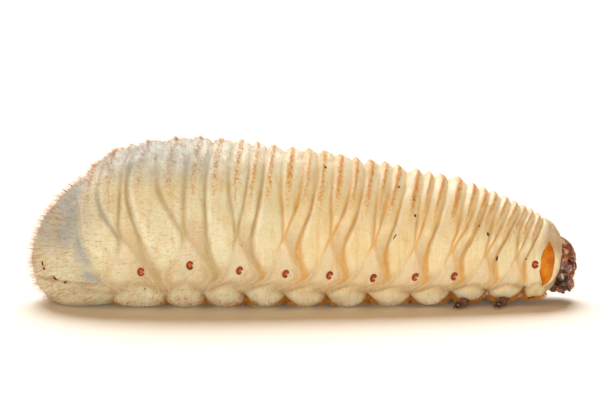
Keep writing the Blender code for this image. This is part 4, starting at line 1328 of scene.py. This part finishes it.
class LARVA_OT_head(Operator):
    """Builds the head capsule with its mouthparts, feelers and bristles"""
    bl_idname = "larva.head"
    bl_label = "Head"

    def execute(self, context):
        look = context.scene.larva_horn
        rng = np.random.default_rng(HEAD_SEED)
        horn = patched_finish("head_horn", look.head, look.head_red, look)
        black = patched_finish("jaw_horn", look.jaw, look.head, look)
        limb = patched_finish("limb_horn", look.leg, look.limb_red, look)
        capsule = ellipsoid(HEAD_CENTRE, HEAD_RADII, 130, 180, capsule_relief)
        face = ellipsoid(*CLYPEUS, 60, 70, lip_relief)
        points, _ = joined([capsule, face])
        seam = 0.75 * sutures(unit((points - HEAD_CENTRE) / HEAD_RADII))
        seam[len(capsule[0]):] = 0.0
        dark = np.maximum(seam, patches(points, HEAD_DARK))
        # Pale patches, two of them painted highlights.
        pale = patches(points, HEAD_PALE_AND_HIGHLIGHTS)
        horn_piece("head", [capsule, face], horn, "head_capsule", pale, dark)
        lip, under_lip = ellipsoid(*LABRUM, 60, 64, lip_relief), ellipsoid(*LABIUM, 40, 44)
        horn_piece("lip", [lip], limb, "labrum", 0.45)
        horn_piece("under_lip", [under_lip], limb, "labium")
        sprouts = [
            sprout(rng, capsule[0], HEAD_CENTRE, 320, 0.30, (0.25, 0.0, -0.3)),
            sprout(rng, face[0], CLYPEUS[0], 90, 0.28, (0.4, 0.0, -0.5)),
            sprout(rng, ellipsoid(*LABRUM)[0], LABRUM[0], 160, 0.38, (0.2, 0.0, -0.6)),
        ]
        for side, word in ((1, "left"), (-1, "right")):
            feeler, feeler_line = jointed(side, *ANTENNA)
            share = shares(feeler, feeler_line)
            horn_piece("feeler_" + word, [feeler], limb, "antenna_" + word,
                       0.1 * at_joints(share, ANTENNA[2], 0.02), ease(0.80, 0.86, share))
            blade, blade_line = jaw_blade(side)
            share = shares(blade, blade_line)
            horn_piece("jaw_" + word, [blade], black, "mandible_" + word,
                       0.4 * np.maximum(bell(share, 0.10, 0.05), 0.7 * bell(share, 0.38, 0.04)))
            stem, stem_line = jointed(side, *MAXILLA)
            palp, palp_line = jointed(side, *PALP)
            share = np.concatenate([np.zeros(len(stem[0])), shares(palp, palp_line)])
            horn_piece("maxilla_" + word + "_fine", [stem, palp], limb, "maxilla_" + word,
                       0.2 * at_joints(share, PALP[2], 0.03), 0.6 * ease(0.85, 0.95, share))
            sprouts += [
                limb_sprout(rng, blade, blade_line, 70, 0.28),
                limb_sprout(rng, stem, stem_line, 150, 0.34, (0.2, 0.0, -0.3)),
                limb_sprout(rng, palp, palp_line, 50, 0.20),
                limb_sprout(rng, feeler, feeler_line, 60, 0.18),
            ]
        hair = context.scene.larva_bristles
        bristle_piece("bristles_head", sprouts, rng, hair, bristle_finish(hair), 0.9)
        return {"FINISHED"}


class LARVA_OT_legs(Operator):
    """Builds the six short legs with their joints, claws and bristles"""
    bl_idname = "larva.legs"
    bl_label = "Legs"

    def execute(self, context):
        look = context.scene.larva_horn
        rng = np.random.default_rng(LEG_SEED)
        finish = patched_finish("leg_horn", look.leg, look.leg_red, look)
        sprouts = []
        for word, line in LEGS.items():
            for side, hand in ((1, "left"), (-1, "right")):
                leg, middles = jointed(side, line, *LEG_SHAPE)
                claw = claw_tube(middles[-1], unit(middles[-1] - middles[-12]))
                share = np.concatenate([shares(leg, middles), np.ones(len(claw[0]))])
                dark = np.maximum(ease(0.78, 0.95, share), 0.5 * bell(share, 0.6, 0.08))
                node = "leg_" + word + "_" + hand
                horn_piece(node + "_fine", [leg, claw], finish, node,
                           0.25 * at_joints(share, LEG_SHAPE[1], 0.025), dark)
                sprouts.append(limb_sprout(rng, leg, middles, 170, 0.34, (0.0, 0.5 * side, -0.2)))
        hair = context.scene.larva_bristles
        bristle_piece("bristles_leg", sprouts, rng, hair, bristle_finish(hair))
        return {"FINISHED"}


# Stage, in metres, and the sensor in mm
FLOOR_HALF = 4.0
CAMERA_TARGET = np.array((0.0004, 0.0, 0.0089))
CAMERA_DISTANCE = 0.2554
NEAR_CLIP = 0.01
SENSOR_WIDTH = 36.0

# Soft lights: setting with the strength, direction to the light, width in degrees and colour
LIGHTS = (
    ("back_light", (-0.10, 0.78, 1.0), 46.0, (0.93, 0.97, 1.0)),
    ("front_light", (-0.02, -1.0, 0.10), 30.0, (0.99, 0.97, 0.92)),
)


def aim_angles(direction):
    """Rotation that points an object's -Z along a direction with its +Y up."""
    return Vector(direction).to_track_quat("-Z", "Y").to_euler()


def lay_floor(look):
    """A plain square floor at z = 0."""
    finish, _, shader = new_finish("floor", 0.7)
    shader.inputs["Base Color"].default_value = (*look.floor, 1.0)
    corners = [(-1, -1), (1, -1), (1, 1), (-1, 1)]
    mesh = bpy.data.meshes.new("floor")
    mesh.from_pydata([(x * FLOOR_HALF, y * FLOOR_HALF, 0.0) for x, y in corners], [], [(0, 1, 2, 3)])
    mesh.materials.append(finish)
    floor = bpy.data.objects.new("floor", mesh)
    bpy.context.collection.objects.link(floor)


def set_lights(look):
    """An even warm surround, and the soft lights."""
    world = bpy.data.worlds.new("studio")
    world.use_nodes = True
    background = world.node_tree.nodes["Background"]
    background.inputs["Color"].default_value = (*look.surround, 1.0)
    background.inputs["Strength"].default_value = look.brightness
    bpy.context.scene.world = world
    bpy.context.scene.view_settings.view_transform = "Standard"
    for name, place, width, colour in LIGHTS:
        light = bpy.data.lights.new(name, "SUN")
        light.energy = getattr(look, name)
        light.color = colour
        light.angle = math.radians(width)
        lamp = bpy.data.objects.new(name, light)
        lamp.location = place
        lamp.rotation_euler = aim_angles(-np.array(place))
        bpy.context.collection.objects.link(lamp)


def set_camera(look):
    """A long lens on the right side of the larva, a little above the floor's level."""
    camera = bpy.data.cameras.new("camera")
    camera.lens = look.lens
    camera.sensor_width = SENSOR_WIDTH
    camera.clip_start = NEAR_CLIP
    eye = bpy.data.objects.new("camera", camera)
    back = np.array((0.0, -math.cos(look.elevation), math.sin(look.elevation)))
    eye.location = CAMERA_TARGET + back * CAMERA_DISTANCE
    eye.rotation_euler = aim_angles(-back)
    bpy.context.collection.objects.link(eye)
    bpy.context.scene.camera = eye


class LARVA_OT_stage(Operator):
    """Sets out the pale floor, the soft lights and the camera"""
    bl_idname = "larva.stage"
    bl_label = "Stage"

    def execute(self, context):
        look = context.scene.larva_stage
        lay_floor(look)
        set_lights(look)
        set_camera(look)
        return {"FINISHED"}


class LARVA_PT_panel(Panel):
    """Lists the pieces of the larva"""
    bl_label = "Larva"
    bl_idname = "LARVA_PT_panel"
    bl_space_type = "VIEW_3D"
    bl_region_type = "UI"
    bl_category = "Larva"

    def draw(self, context):
        for operator in OPERATORS:
            self.layout.operator(operator.bl_idname)


OPERATORS = (
    LARVA_OT_stage,
    LARVA_OT_skin,
    LARVA_OT_plates,
    LARVA_OT_spiracles,
    LARVA_OT_head,
    LARVA_OT_legs,
    LARVA_OT_specks,
    LARVA_OT_bristles,
)
GROUPS = {
    "larva_skin": LARVA_PG_skin,
    "larva_bristles": LARVA_PG_bristles,
    "larva_horn": LARVA_PG_horn,
    "larva_stage": LARVA_PG_stage,
}


def register():
    for name, group in GROUPS.items():
        bpy.utils.register_class(group)
        setattr(bpy.types.Scene, name, PointerProperty(type=group))
    for operator in OPERATORS:
        bpy.utils.register_class(operator)
    bpy.utils.register_class(LARVA_PT_panel)


def unregister():
    bpy.utils.unregister_class(LARVA_PT_panel)
    for operator in reversed(OPERATORS):
        bpy.utils.unregister_class(operator)
    for name, group in GROUPS.items():
        delattr(bpy.types.Scene, name)
        bpy.utils.unregister_class(group)


def main():
    register()
    bpy.ops.larva.stage()
    bpy.ops.larva.skin()
    bpy.ops.larva.plates()
    bpy.ops.larva.spiracles()
    bpy.ops.larva.head()
    bpy.ops.larva.legs()
    bpy.ops.larva.specks()
    bpy.ops.larva.bristles()


if __name__ == "__main__":
    main()
